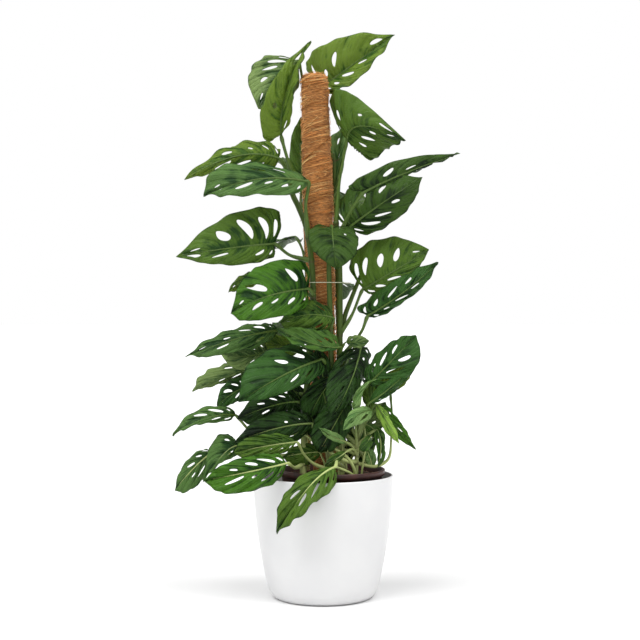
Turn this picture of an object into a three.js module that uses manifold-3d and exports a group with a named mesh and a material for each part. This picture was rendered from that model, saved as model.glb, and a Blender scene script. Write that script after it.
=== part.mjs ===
// Monstera adansonii climbing a coir pole, in its nursery pot, inside a white cover pot.
// Millimetres, +Z up, +X right, +Y away from the front. The origin is the middle of the
// cover pot's flat underside.

import * as THREE from "three";
import { mergeVertices } from "three/addons/utils/BufferGeometryUtils.js";
import Module from "manifold-3d";

const wasm = await Module();
wasm.setup();

// ---------------------------------------------------------------- driving dimensions

const SEAT_GAP = 0.35; // air left between two pieces that touch

const COVER_POT = { height: 191, rimRadius: 110, footRadius: 75, wall: 3, floor: 4, sides: 24 };

const NURSERY_POT = {
  centreX: 14, // it stands a little to the right inside the cover pot
  bottom: COVER_POT.floor + SEAT_GAP,
  top: 200,
  rimRadius: 83.5,
  mouthRadius: 80.5,
  footRadius: 56,
  wall: 1.2,
  lip: 9,
  drainHoles: 4,
  drainRadius: 5,
  drainCircle: 38,
  drainSides: 6,
  sides: 20,
};

const SOIL = { edge: 189, crown: 197 };

const POLE = {
  foot: [10, 0, 30], // bottom end of the rod, deep in the soil
  lean: THREE.MathUtils.degToRad(-1.75), // the pole leans a little to the left
  rodRadius: 11,
  rodLength: 770,
  rodSides: 10,
  sleeveBottom: 85, // along the rod
  sleeveTop: 790,
  sleeveRadius: 22,
  looseRadius: 24.5, // where the coir has worked loose
  sides: 14,
};

const TIE = { height: 492, centre: [1, -1], radius: 43.2, thread: 0.8, sides: 16 };

const BLADE = {
  thickness: 0.8,
  shortestSlit: 0.35, // shorter slits are left to the surface
  petioleRadius: 1.7,
  petioleSides: 5,
  petioleSteps: 4,
  sunk: 5, // how far the stalk runs on inside the blade
};

const VINE_SIDES = 6;

// Climbing stems, from the soil up. Each is a smooth curve through its points.
const VINES = {
  left_vine: {
    radius: 5,
    points: [
      [-30, -46, 150],
      [-31, -44, 203],
      [-27, -36, 310],
      [-17, -32, 418],
      [-17, -31, 512],
      [-27, -27, 580],
      [-38, -22, 609],
      [-49, -14, 637],
      [-42, -14, 662],
    ],
  },
  middle_vine: {
    radius: 4.5,
    points: [
      [10, -46, 150],
      [11, -44, 203],
      [12, -34, 295],
      [12, -32, 395],
      [9, -31, 519],
      [11, -31, 571],
    ],
  },
  right_vine: {
    radius: 5,
    points: [
      [28, -36, 150],
      [28, -36, 202],
      [25, -28, 294],
      [26, -24, 403],
      [25, -21, 531],
      [20, -22, 587],
    ],
  },
  back_left_vine: {
    radius: 4.5,
    points: [
      [-26, 38, 150],
      [-26, 38, 175],
      [-22, 28, 300],
      [-24, 26, 450],
      [-28, 24, 600],
      [-34, 24, 715],
    ],
  },
  back_right_vine: {
    radius: 4.5,
    points: [
      [38, 36, 150],
      [36, 34, 175],
      [28, 28, 300],
      [24, 28, 450],
      [20, 28, 600],
      [16, 28, 700],
    ],
  },
  young_shoot: {
    radius: 3.6,
    points: [
      [50, -30, 150],
      [51, -32, 195],
      [52, -32, 225],
      [54, -34, 260],
    ],
  },
};

// Every leaf is set out by five points of its blade: the base of the midrib, its middle, the
// tip, and the widest points of the left and right margins. 'on' and 'at' name the vine and
// the height where the stalk starts, and 'by' the points that the stalk passes. 'lobes' say
// how far each half reaches back behind the base, 'wave' and 'turn' ripple the margin. Each
// digit of 'slits' is the length of the hole between two side veins, in tenths of the half,
// from base to tip.
const LEAVES = [
  {
    name: "leaf_01", on: "back_right_vine", at: 690, by: [[-2, 32, 767]],
    base: [1, 30, 808], mid: [46, 18, 839], tip: [108, 10, 882],
    left: [-13, 20, 867], right: [41, -6, 805],
    lobes: [0.45, 0.45], wave: 3, turn: 1, slits: ["060504", "033430"],
  },
  {
    name: "leaf_02", on: "back_left_vine", at: 690, by: [[-29, 34, 779]],
    base: [-40, -2, 843], mid: [-69, -10, 815], tip: [-99, -14, 769],
    left: [-54, 10, 782], right: [-104, -4, 841],
    lobes: [0.4, 0.4], wave: 1, turn: 0, slits: ["000000", "046530"],
  },
  {
    name: "leaf_03", on: "left_vine", at: 652, by: [[-56, -26, 686]],
    base: [-65, -34, 719], mid: [-57, -52, 782], tip: [-23, -40, 860],
    left: [-96, -66, 745], right: [-44, -74, 783],
    lobes: [0.55, 0.25], wave: 2, turn: 0, slits: ["000305", "030040"],
  },
  {
    name: "leaf_04", on: "right_vine", at: 585, by: [[26, -19, 653]],
    base: [37, -16, 714], mid: [58, -42, 733], tip: [119, -66, 711],
    left: [12, -16, 790], right: [89, -22, 693],
    lobes: [0.4, 0.4], wave: 2, turn: 2, slits: ["003003", "003400"],
  },
  {
    name: "leaf_05", on: "left_vine", at: 640, by: [[-61, -22, 674]],
    base: [-69, -30, 685], mid: [-131, -52, 686], tip: [-208, -44, 654],
    left: [-122, -40, 663], right: [-104, -30, 713],
    lobes: [0.35, 0.35], wave: 2, turn: 0, slits: ["003460", "063040"],
  },
  {
    name: "leaf_06", on: "right_vine", at: 560, by: [[41, -50, 598]],
    base: [62, -74, 628], mid: [123, -92, 655], tip: [199, -98, 681],
    left: [71, -84, 657], right: [98, -74, 642],
    lobes: [0.7, 0.3], wave: 2, turn: 1, slits: ["000400", "000000"],
  },
  {
    name: "leaf_07", on: "left_vine", at: 560, by: [[-27, -40, 612]],
    base: [-23, -44, 647], mid: [-99, -80, 647], tip: [-175, -86, 623],
    left: [-86, -86, 624], right: [-106, -62, 677],
    lobes: [0.2, 0.6], wave: 2, turn: 1, slits: ["033050", "004300"],
  },
  {
    name: "leaf_08", on: "right_vine", at: 548, by: [[32, -30, 571]],
    base: [38, -36, 576], mid: [88, -62, 611], tip: [147, -58, 650],
    left: [37, -26, 638], right: [103, -66, 583],
    lobes: [0.4, 0.3], wave: 2, turn: 0, slits: ["075430", "056430"],
  },
  {
    name: "leaf_09", on: "middle_vine", at: 548, by: [[12, -38, 579]],
    base: [14, -48, 576], mid: [16, -82, 543], tip: [21, -86, 512],
    left: [53, -76, 558], right: [-23, -70, 562],
    lobes: [0.4, 0.4], wave: 2, turn: 0, slits: ["043000", "040000"],
  },
  {
    name: "leaf_10", on: "left_vine", at: 526, by: [[-52, -26, 535]],
    base: [-75, -34, 552], mid: [-139, -66, 544], tip: [-219, -60, 532],
    left: [-115, -60, 520], right: [-99, -50, 608],
    lobes: [0.3, 0.45], wave: 2, turn: 2, slits: ["034045", "068760"],
  },
  {
    name: "leaf_11", on: "right_vine", at: 412, by: [[45, -20, 442]],
    base: [62, -24, 482], mid: [112, -46, 511], tip: [160, -40, 541],
    left: [62, -26, 552], right: [112, -50, 488],
    lobes: [0.4, 0.3], wave: 2, turn: 1, slits: ["075450", "055400"],
  },
  {
    name: "leaf_12", on: "left_vine", at: 470, by: [[-61, -12, 494]],
    base: [-96, -16, 501], mid: [-120, -26, 495], tip: [-146, -26, 479],
    left: [-120, -24, 484], right: [-118, -14, 509],
    lobes: [0.3, 0.3], wave: 1, turn: 0, slits: ["00000", "00000"],
  },
  {
    name: "leaf_13", on: "right_vine", at: 372, by: [[60, -31, 417]],
    base: [69, -35, 440], mid: [125, -62, 478], tip: [173, -58, 520],
    left: [86, -44, 480], right: [120, -64, 460],
    lobes: [0.5, 0.3], wave: 2, turn: 0, slits: ["054430", "043430"],
  },
  {
    name: "leaf_14", on: "left_vine", at: 480, by: [[-16, -42, 474]],
    base: [-22, -47, 482], mid: [-84, -78, 470], tip: [-136, -84, 446],
    left: [-71, -84, 439], right: [-69, -60, 527],
    lobes: [0.5, 0.6], wave: 2, turn: 1, slits: ["043040", "055070"],
  },
  {
    name: "leaf_15", on: "middle_vine", at: 420, by: [],
    base: [17, -42, 437], mid: [-23, -50, 442], tip: [-63, -48, 431],
    left: [-26, -46, 412], right: [-20, -44, 465],
    lobes: [0.4, 0.4], wave: 1, turn: 0, slits: ["044000", "044000"],
  },
  {
    name: "leaf_16", on: "right_vine", at: 372, by: [],
    base: [28, -42, 392], mid: [-11, -62, 396], tip: [-67, -66, 419],
    left: [-8, -46, 417], right: [-14, -72, 387],
    lobes: [0.35, 0.35], wave: 2, turn: 0, slits: ["034000", "004000"],
  },
  {
    name: "leaf_17", on: "right_vine", at: 380, by: [],
    base: [35, -38, 400], mid: [50, -48, 400], tip: [69, -50, 402],
    left: [49, -42, 411], right: [52, -50, 391],
    lobes: [0.3, 0.3], wave: 1, turn: 0, slits: ["00000", "03000"],
  },
  {
    name: "leaf_18", on: "left_vine", at: 400, by: [[-48, -26, 415]],
    base: [-69, -30, 418], mid: [-130, -58, 406], tip: [-206, -56, 380],
    left: [-127, -58, 388], right: [-122, -42, 426],
    lobes: [0.3, 0.3], wave: 2, turn: 0, slits: ["044040", "045300"],
  },
  {
    name: "leaf_19", on: "left_vine", at: 380, by: [[-55, -22, 387]],
    base: [-86, -22, 387], mid: [-120, -34, 378], tip: [-158, -32, 384],
    left: [-116, -36, 358], right: [-120, -22, 401],
    lobes: [0.3, 0.3], wave: 1, turn: 0, slits: ["04300", "04400"],
  },
  {
    name: "leaf_20", on: "right_vine", at: 300, by: [[48, -34, 313]],
    base: [69, -42, 334], mid: [104, -62, 371], tip: [139, -62, 408],
    left: [83, -48, 383], right: [128, -68, 347],
    lobes: [0.35, 0.35], wave: 2, turn: 0, slits: ["044540", "045650"],
  },
  {
    name: "leaf_21", on: "middle_vine", at: 345, by: [],
    base: [-2, -46, 374], mid: [-59, -80, 351], tip: [-123, -82, 313],
    left: [-34, -72, 334], right: [-79, -70, 390],
    lobes: [0.4, 0.4], wave: 2, turn: 0, slits: ["045400", "056400"],
  },
  {
    name: "leaf_22", on: "left_vine", at: 352, by: [[-58, -12, 362]],
    base: [-96, -2, 360], mid: [-142, -18, 350], tip: [-199, -26, 325],
    left: [-142, -16, 340], right: [-159, -4, 365],
    lobes: [0.3, 0.3], wave: 1, turn: 1, slits: ["004430", "044400"],
  },
  {
    name: "leaf_23", on: "right_vine", at: 352, by: [[45, -22, 387]],
    base: [59, -22, 392], mid: [43, -52, 340], tip: [15, -72, 288],
    left: [71, -25, 356], right: [12, -62, 352],
    lobes: [0.3, 0.22], wave: 2, turn: 1, slits: ["030400", "055000"],
  },
  {
    name: "leaf_24", on: "right_vine", at: 352, by: [],
    base: [26, -40, 354], mid: [0, -46, 323], tip: [-19, -46, 288],
    left: [23, -42, 314], right: [-25, -50, 326],
    lobes: [0.4, 0.4], wave: 1, turn: 0, slits: ["04300", "04400"],
  },
  {
    name: "leaf_25", on: "young_shoot", at: 236, by: [],
    base: [47, -62, 295], mid: [53, -66, 323], tip: [82, -66, 344],
    left: [47, -64, 318], right: [59, -70, 321],
    lobes: [0.3, 0.3], wave: 1, turn: 0, slits: ["03000", "00000"],
  },
  {
    name: "leaf_26", on: "left_vine", at: 318, by: [[-74, -16, 328]],
    base: [-120, -20, 331], mid: [-142, -30, 319], tip: [-164, -26, 302],
    left: [-135, -32, 307], right: [-145, -26, 341],
    lobes: [0.35, 0.35], wave: 1, turn: 0, slits: ["04400", "04560"],
  },
  {
    name: "leaf_27", on: "left_vine", at: 300, by: [],
    base: [-42, -44, 308], mid: [-79, -52, 302], tip: [-128, -52, 284],
    left: [-73, -46, 274], right: [-82, -44, 323],
    lobes: [0.4, 0.4], wave: 2, turn: 0, slits: ["044000", "043430"],
  },
  {
    name: "leaf_28", on: "right_vine", at: 312, by: [],
    base: [40, -46, 314], mid: [18, -58, 275], tip: [-5, -62, 235],
    left: [41, -54, 262], right: [-8, -66, 288],
    lobes: [0.4, 0.4], wave: 1, turn: 1, slits: ["043000", "034000"],
  },
  {
    name: "leaf_29", on: "left_vine", at: 262, by: [[-101, -36, 254]],
    base: [-136, -36, 287], mid: [-179, -60, 284], tip: [-228, -58, 260],
    left: [-174, -64, 278], right: [-173, -48, 303],
    lobes: [0.35, 0.35], wave: 1, turn: 0, slits: ["04400", "04660"],
  },
  {
    name: "leaf_30", on: "young_shoot", at: 250, by: [],
    base: [88, -26, 300], mid: [108, -34, 271], tip: [141, -34, 236],
    left: [118, -32, 288], right: [91, -30, 271],
    lobes: [0.3, 0.3], wave: 2, turn: 0, slits: ["044000", "000000"],
  },
  {
    name: "leaf_31", on: "young_shoot", at: 214, by: [[33, -54, 219], [-8, -58, 247]],
    base: [-17, -54, 275], mid: [-66, -68, 270], tip: [-130, -70, 250],
    left: [-66, -67, 245], right: [-63, -66, 295],
    lobes: [0.4, 0.4], wave: 2, turn: 1, slits: ["043000", "043000"],
  },
  {
    name: "leaf_32", on: "middle_vine", at: 202, by: [[-14, -52, 213], [-29, -60, 228]],
    base: [-40, -76, 249], mid: [-86, -88, 244], tip: [-131, -90, 235],
    left: [-86, -92, 228], right: [-92, -86, 262],
    lobes: [0.35, 0.35], wave: 2, turn: 0, slits: ["043000", "034300"],
  },
  {
    name: "leaf_33", on: "left_vine", at: 236, by: [[-79, -42, 233]],
    base: [-127, -46, 240], mid: [-149, -60, 232], tip: [-181, -60, 191],
    left: [-148, -66, 221], right: [-159, -50, 259],
    lobes: [0.35, 0.35], wave: 1, turn: 0, slits: ["03300", "04300"],
  },
  {
    name: "leaf_34", on: "left_vine", at: 212, by: [[-42, -60, 208]],
    base: [-54, -96, 219], mid: [-112, -114, 208], tip: [-173, -112, 196],
    left: [-106, -122, 181], right: [-109, -112, 232],
    lobes: [0.4, 0.4], wave: 2, turn: 1, slits: ["045060", "056430"],
  },
  {
    name: "leaf_35", on: "left_vine", at: 226, by: [[-105, -20, 222]],
    base: [-172, -22, 228], mid: [-197, -36, 208], tip: [-228, -32, 173],
    left: [-194, -36, 180], right: [-204, -26, 224],
    lobes: [0.35, 0.35], wave: 1, turn: 0, slits: ["04400", "05440"],
  },
  {
    name: "leaf_36", on: "right_vine", at: 206, by: [[21, -66, 219]],
    base: [18, -92, 213], mid: [-20, -128, 189], tip: [-65, -132, 125],
    left: [-5, -146, 175], right: [-36, -116, 201],
    lobes: [0.4, 0.6], wave: 2, turn: 0, slits: ["055640", "034040"],
  },
  // behind the pole
  {
    name: "leaf_37", on: "back_left_vine", at: 610, by: [],
    base: [-31, 32, 652], mid: [-32, 42, 708], tip: [-35, 36, 756],
    left: [-53, 36, 691], right: [-5, 50, 699],
    lobes: [0.4, 0.4], wave: 1, turn: 0, slits: ["00000", "00000"],
  },
  {
    name: "leaf_38", on: "back_right_vine", at: 590, by: [],
    base: [16, 24, 629], mid: [22, 36, 683], tip: [32, 30, 740],
    left: [-2, 46, 684], right: [33, 30, 703],
    lobes: [0.4, 0.4], wave: 1, turn: 0, slits: ["00000", "00000"],
  },
  {
    name: "leaf_39", on: "back_left_vine", at: 600, by: [[-36, 58, 626]],
    base: [-30, 62, 700], mid: [-34, 104, 700], tip: [-30, 138, 668],
    left: [8, 92, 690], right: [-76, 88, 694],
    lobes: [0.4, 0.4], wave: 2, turn: 0, slits: ["04050", "04000"],
  },
  {
    name: "leaf_40", on: "back_right_vine", at: 585, by: [],
    base: [26, 60, 640], mid: [34, 104, 636], tip: [40, 146, 606],
    left: [72, 84, 630], right: [-4, 92, 632],
    lobes: [0.4, 0.4], wave: 2, turn: 1, slits: ["04500", "00450"],
  },
  {
    name: "leaf_41", on: "back_left_vine", at: 520, by: [],
    base: [-44, 50, 570], mid: [-66, 84, 566], tip: [-84, 122, 534],
    left: [-40, 98, 558], right: [-88, 66, 560],
    lobes: [0.4, 0.4], wave: 2, turn: 2, slits: ["04000", "00540"],
  },
  {
    name: "leaf_42", on: "back_right_vine", at: 455, by: [],
    base: [22, 62, 500], mid: [22, 104, 492], tip: [14, 142, 458],
    left: [52, 94, 486], right: [-14, 92, 486],
    lobes: [0.4, 0.4], wave: 2, turn: 0, slits: ["05500", "04000"],
  },
  {
    name: "leaf_43", on: "back_left_vine", at: 390, by: [],
    base: [-36, 58, 440], mid: [-48, 98, 430], tip: [-56, 138, 396],
    left: [-12, 98, 424], right: [-82, 82, 424],
    lobes: [0.4, 0.4], wave: 2, turn: 1, slits: ["00540", "04000"],
  },
  {
    name: "leaf_44", on: "back_right_vine", at: 322, by: [],
    base: [40, 52, 370], mid: [60, 88, 360], tip: [76, 124, 326],
    left: [92, 72, 352], right: [30, 100, 352],
    lobes: [0.4, 0.4], wave: 2, turn: 2, slits: ["04040", "00400"],
  },
  {
    name: "leaf_45", on: "back_left_vine", at: 262, by: [],
    base: [-20, 62, 310], mid: [-30, 104, 296], tip: [-36, 142, 258],
    left: [8, 96, 290], right: [-64, 90, 290],
    lobes: [0.4, 0.4], wave: 2, turn: 0, slits: ["05040", "00500"],
  },
  // among the others, low down
  {
    name: "leaf_46", on: "left_vine", at: 391, by: [],
    base: [-38, -12, 387], mid: [-68, -13, 395], tip: [-101, -8, 403],
    left: [-68, -10, 379], right: [-64, -10, 410],
    lobes: [0.35, 0.35], wave: 1, turn: 0, slits: ["00000", "04000"],
  },
  {
    name: "leaf_47", on: "young_shoot", at: 212, by: [[82, -30, 207], [101, -28, 218], [106, -24, 250], [107, -20, 290]],
    base: [105, -30, 321], mid: [119, -38, 343], tip: [138, -44, 368],
    left: [76, -26, 331], right: [131, -46, 343],
    lobes: [0.5, 0.3], wave: 1, turn: 0, slits: ["04000", "00400"],
  },
  {
    name: "leaf_48", on: "right_vine", at: 232, by: [],
    base: [45, -12, 246], mid: [67, -14, 271], tip: [95, -16, 303],
    left: [45, -12, 280], right: [92, -14, 265],
    lobes: [0.35, 0.35], wave: 1, turn: 0, slits: ["00400", "00000"],
  },
];

// The small leaves of the young shoot, in one piece with it.
const SHOOT_LEAVES = [
  {
    name: "u", on: "young_shoot", at: 258, by: [],
    base: [58, -56, 264], mid: [44, -72, 281], tip: [27, -80, 271],
    left: [44, -76, 266], right: [50, -70, 296],
    lobes: [0.35, 0.35], wave: 1, turn: 0, slits: ["000", "040"],
  },
  {
    name: "u2", on: "young_shoot", at: 250, by: [],
    base: [63, -42, 263], mid: [73, -50, 280], tip: [84, -54, 298],
    left: [60, -50, 288], right: [87, -50, 274],
    lobes: [0.35, 0.35], wave: 1, turn: 0, slits: ["000", "000"],
  },
  {
    name: "w", on: "young_shoot", at: 240, by: [],
    base: [74, -40, 253], mid: [73, -50, 234], tip: [66, -52, 213],
    left: [91, -46, 235], right: [57, -50, 234],
    lobes: [0.35, 0.35], wave: 1, turn: 0, slits: ["000", "000"],
  },
  {
    name: "x", on: "young_shoot", at: 225, by: [],
    base: [40, -54, 244], mid: [21, -68, 257], tip: [0, -76, 266],
    left: [19, -72, 249], right: [22, -70, 267],
    lobes: [0.35, 0.35], wave: 1, turn: 0, slits: ["000", "000"],
  },
];

// ---------------------------------------------------------------- looks

function look(color, roughness) {
  return new THREE.MeshStandardMaterial({ color, roughness, metalness: 0 });
}

const LOOKS = {
  coverPot: () => look(0xeeeeec, 0.25),
  nurseryPot: () => look(0x3b1f18, 0.5),
  soil: () => look(0x2c211b, 0.95),
  rod: () => look(0x6b4a2e, 0.8),
  coir: () => look(0xb87646, 0.95),
  tie: () => look(0xd9dcc0, 0.6),
  stem: () => look(0x5f7c3a, 0.5),
  leaf: () => look(0x3c7a2c, 0.4),
};

// ---------------------------------------------------------------- solids

const vector = (point) => new THREE.Vector3(...point);

/** A closed three.js geometry as a solid that can be joined and cut. */
function solidOf(geometry) {
  const bare = geometry.clone();
  bare.deleteAttribute("normal");
  bare.deleteAttribute("uv");
  const merged = mergeVertices(bare, 1e-4);
  const solid = new wasm.Manifold(
    new wasm.Mesh({
      numProp: 3,
      vertProperties: new Float32Array(merged.attributes.position.array),
      triVerts: new Uint32Array(merged.index.array),
    }),
  );
  if (solid.isEmpty()) throw new Error(`not a closed solid: ${solid.status()}`);
  return solid;
}

/** A solid back as a three.js geometry. */
function geometryOf(solid) {
  const mesh = solid.getMesh();
  const geometry = new THREE.BufferGeometry();
  geometry.setAttribute("position", new THREE.BufferAttribute(mesh.vertProperties, 3));
  geometry.setIndex(new THREE.BufferAttribute(mesh.triVerts, 1));
  return geometry;
}

/** The largest connected body of a solid: what a cut leaves loose is dropped. */
function mainBody(solid) {
  const bodies = solid.decompose();
  return bodies.reduce((best, body) => (body.volume() > best.volume() ? body : best));
}

/** A solid turned from a profile of [radius, height] points, about the vertical at x. */
function turned(profile, sides, x = 0) {
  const points = profile.map(([radius, height]) => new THREE.Vector2(radius, height));
  const geometry = new THREE.LatheGeometry(points, sides);
  geometry.rotateX(Math.PI / 2);
  geometry.translate(x, 0, 0);
  return solidOf(geometry);
}

/** A round bar along a smooth curve through the points. */
function bar(points, radius, sides, steps) {
  const corners = Array.from({ length: sides }, (_, i) => {
    const angle = (2 * Math.PI * i) / sides;
    return new THREE.Vector2(radius * Math.cos(angle), radius * Math.sin(angle));
  });
  const path = new THREE.CatmullRomCurve3(points);
  const options = { steps, bevelEnabled: false, extrudePath: path };
  return solidOf(new THREE.ExtrudeGeometry(new THREE.Shape(corners), options));
}

const plant = new THREE.Group();

function add(name, solid, material) {
  const mesh = new THREE.Mesh(geometryOf(solid), material);
  mesh.name = name;
  plant.add(mesh);
  return mesh;
}

// ---------------------------------------------------------------- cover pot

/** Outside radius of the cover pot at a height: a taper that swells slightly outwards. */
function coverPotRadius(height) {
  const { rimRadius, footRadius } = COVER_POT;
  const footCurve = 1 - Math.exp(-height / 5);
  const side = footRadius + 8 * footCurve + (rimRadius - footRadius - 8) * bulge(height);
  return side;
}

function bulge(height) {
  const part = height / COVER_POT.height;
  return part + 0.9 * part * (1 - part);
}

function coverPot() {
  const { height, footRadius, wall, floor, sides } = COVER_POT;
  const outsideHeights = [1.5, 6, 16, 60, 120, height - 4, height - 1];
  const insideHeights = [120, 50, floor + 6];
  const profile = [
    [0, 0],
    [footRadius, 0],
    ...outsideHeights.map((z) => [coverPotRadius(z), z]),
    [coverPotRadius(height) - wall / 2, height],
    [coverPotRadius(height) - wall + 0.3, height - 1],
    ...insideHeights.map((z) => [coverPotRadius(z) - wall, z]),
    [coverPotRadius(floor) - wall - 3, floor],
    [0, floor],
  ];
  return turned(profile, sides);
}

// ---------------------------------------------------------------- nursery pot and soil

/** Inside radius of the nursery pot at a height. */
function nurseryInside(z) {
  const { bottom, top, footRadius, mouthRadius, wall } = NURSERY_POT;
  return footRadius - wall + ((mouthRadius - footRadius) * (z - bottom)) / (top - bottom);
}

function nurseryPot() {
  const pot = NURSERY_POT;
  const floorTop = pot.bottom + 2;
  const profile = [
    [0, pot.bottom],
    [pot.footRadius - 2, pot.bottom],
    [pot.footRadius, pot.bottom + 2],
    [nurseryInside(pot.top - pot.lip) + pot.wall, pot.top - pot.lip],
    [pot.rimRadius - 0.8, pot.top - pot.lip],
    [pot.rimRadius, pot.top - 1],
    [pot.rimRadius - 1, pot.top],
    [nurseryInside(pot.top), pot.top],
    [nurseryInside(floorTop), floorTop],
    [0, floorTop],
  ];
  let solid = turned(profile, pot.sides, pot.centreX);
  for (let i = 0; i < pot.drainHoles; i += 1) {
    const angle = (2 * Math.PI * i) / pot.drainHoles;
    const hole = new THREE.CylinderGeometry(pot.drainRadius, pot.drainRadius, 12, pot.drainSides);
    hole.rotateX(Math.PI / 2);
    hole.translate(
      pot.centreX + pot.drainCircle * Math.cos(angle),
      pot.drainCircle * Math.sin(angle),
      pot.bottom,
    );
    solid = solid.subtract(solidOf(hole));
  }
  return solid;
}

function soilBody() {
  const pot = NURSERY_POT;
  const bottom = pot.bottom + 2 + SEAT_GAP;
  const profile = [
    [0, bottom],
    [nurseryInside(bottom) - SEAT_GAP, bottom],
    [nurseryInside(SOIL.edge) - SEAT_GAP, SOIL.edge],
    [62, SOIL.edge + 2],
    [36, SOIL.crown - 2],
    [0, SOIL.crown],
  ];
  return turned(profile, pot.sides, pot.centreX);
}

// ---------------------------------------------------------------- coir pole

/** The rod inside the pole, standing on the origin. */
function rod(margin = 0) {
  const radius = POLE.rodRadius + margin;
  const profile = [
    [0, -margin],
    [radius, -margin],
    [radius, POLE.rodLength + margin],
    [0, POLE.rodLength + margin],
  ];
  return turned(profile, POLE.rodSides);
}

/** Outside radius of the coir at a height up the rod. */
function coirRadius(height) {
  const loose = Math.exp(-(((height - 590) / 130) ** 2));
  return POLE.sleeveRadius + (POLE.looseRadius - POLE.sleeveRadius) * loose;
}

function coirOutside(margin) {
  const heights = [POLE.sleeveBottom, 300, 420, 500, 560, 620, 680, 740, POLE.sleeveTop - 12];
  return [
    ...heights.map((z) => [coirRadius(z) + margin, z]),
    [POLE.sleeveRadius - 2 + margin, POLE.sleeveTop - 4],
    [POLE.sleeveRadius - 8 + margin, POLE.sleeveTop],
    [0, POLE.sleeveTop + 1 + margin],
  ];
}

function coirSleeve() {
  const bore = POLE.rodRadius + SEAT_GAP;
  const boreTop = POLE.rodLength + SEAT_GAP;
  const inside = [
    [0, boreTop],
    [bore, boreTop],
    [bore, POLE.sleeveBottom],
  ];
  return turned([...inside, ...coirOutside(0)], POLE.sides);
}

/** The room that the pole needs in the soil and among the leaves. */
function poleRoom(margin) {
  const sleeve = turned([[0, POLE.sleeveBottom - margin], ...coirOutside(margin)], POLE.sides);
  return sleeve.add(rod(margin));
}

function stoodUp(solid) {
  const [x, y, z] = POLE.foot;
  return solid.rotate([0, THREE.MathUtils.radToDeg(POLE.lean), 0]).translate([x, y, z]);
}

// ---------------------------------------------------------------- climbing stems

const vinePaths = Object.fromEntries(
  Object.entries(VINES).map(([name, vine]) => {
    return [name, new THREE.CatmullRomCurve3(vine.points.map(vector))];
  }),
);

function vineSolid(name, margin = 0) {
  const vine = VINES[name];
  const points = vine.points.map(vector);
  if (margin > 0) points[0].z -= margin;
  return bar(points, vine.radius + margin, VINE_SIDES, vine.points.length * 2);
}

/** The middle of a vine at a height. */
function vineAt(name, height) {
  const path = vinePaths[name];
  let [low, high] = [0, 1];
  for (let i = 0; i < 24; i += 1) {
    const middle = (low + high) / 2;
    if (path.getPoint(middle).z < height) low = middle;
    else high = middle;
  }
  return path.getPoint(low);
}

// ---------------------------------------------------------------- leaves

// A leaf half is mapped from (a, r): a runs along the margin from the base, 0, to the tip, 1,
// and r runs along a side vein from the midrib, 0, to the margin, 1.

const WIDEST = 0.437; // where along the margin a half is widest
const BASE_POWER = 0.62;
const TIP_POWER = 0.8;

/** How far out the margin is, as a part of the half's width. */
function marginOut(a) {
  return (a / WIDEST) ** BASE_POWER * ((1 - a) / (1 - WIDEST)) ** TIP_POWER;
}

/** How far along the leaf the margin is; a base lobe reaches back behind 0. */
function marginAlong(a, lobe) {
  return a ** 1.15 - 4 * lobe * a * (1 - a) ** 3;
}

/** Where on the midrib the side vein starts that ends at a. */
function veinStart(a) {
  return a ** 1.9;
}

/** A point of the flat leaf half: how far out and how far along. */
function flatPoint(a, r, lobe) {
  const out = marginOut(a);
  const start = veinStart(a);
  const bow = 0.05 * out * Math.sin(Math.PI * r) * Math.min(1, 3 * a);
  return [out * r, start + (marginAlong(a, lobe) - start) * r - bow];
}

/** The leaf's curved surface, from its five set-out points. */
class Blade {
  constructor(leaf) {
    this.leaf = leaf;
    this.base = vector(leaf.base);
    this.tip = vector(leaf.tip);
    this.pull = vector(leaf.mid).multiplyScalar(2);
    this.pull.sub(this.base.clone().add(this.tip).multiplyScalar(0.5));
    this.reach = [leaf.left, leaf.right].map((widest, side) => {
      return vector(widest).sub(this.midrib(marginAlong(WIDEST, leaf.lobes[side])));
    });
    const across = this.reach[1].clone().sub(this.reach[0]);
    this.up = across.cross(this.tip.clone().sub(this.base)).normalize();
    this.length = this.tip.distanceTo(this.base);
  }

  midrib(along) {
    const t = Math.max(along, 0);
    const point = this.base.clone().multiplyScalar((1 - t) ** 2);
    point.addScaledVector(this.pull, 2 * t * (1 - t));
    point.addScaledVector(this.tip, t * t);
    const back = Math.min(along, 0);
    return point.addScaledVector(this.pull.clone().sub(this.base), 2 * back);
  }

  at(side, a, r) {
    const { lobes, wave, turn } = this.leaf;
    const [out, along] = flatPoint(a, r, lobes[side]);
    const reach = this.reach[side];
    const phase = 5 * Math.PI * a + turn + 1.3 * side;
    const ripple = wave * Math.sin(phase) * r * r * Math.min(out, 1);
    const droop = 0.12 * reach.length() * out * out;
    return this.midrib(along).addScaledVector(reach, out).addScaledVector(this.up, ripple - droop);
  }
}

/** The length of the hole between two side veins, as a part of the half's width, or 0. */
function slitSize(leaf, side, gap) {
  const size = Number(leaf.slits[side][gap] ?? 0) / 10;
  return size < BLADE.shortestSlit ? 0 : size;
}

/** Whether a side vein has a hole on either side, so that it needs a corner half way. */
function cutBeside(leaf, side, vein) {
  if (vein === 0 || vein === leaf.slits[side].length) return false;
  return slitSize(leaf, side, vein - 1) > 0 || slitSize(leaf, side, vein) > 0;
}

/** The long hole between two side veins: [a, r] corners, or none. */
function slit(gap, gaps, size) {
  if (size === 0) return [];
  const corners = size < 0.65 ? 4 : 5;
  return Array.from({ length: corners }, (_, i) => {
    const angle = (2 * Math.PI * i) / corners;
    const a = (gap + 0.5 + 0.33 * Math.sin(angle)) / gaps;
    return [a, 0.5 + (size / 2) * Math.cos(angle)];
  });
}

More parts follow.
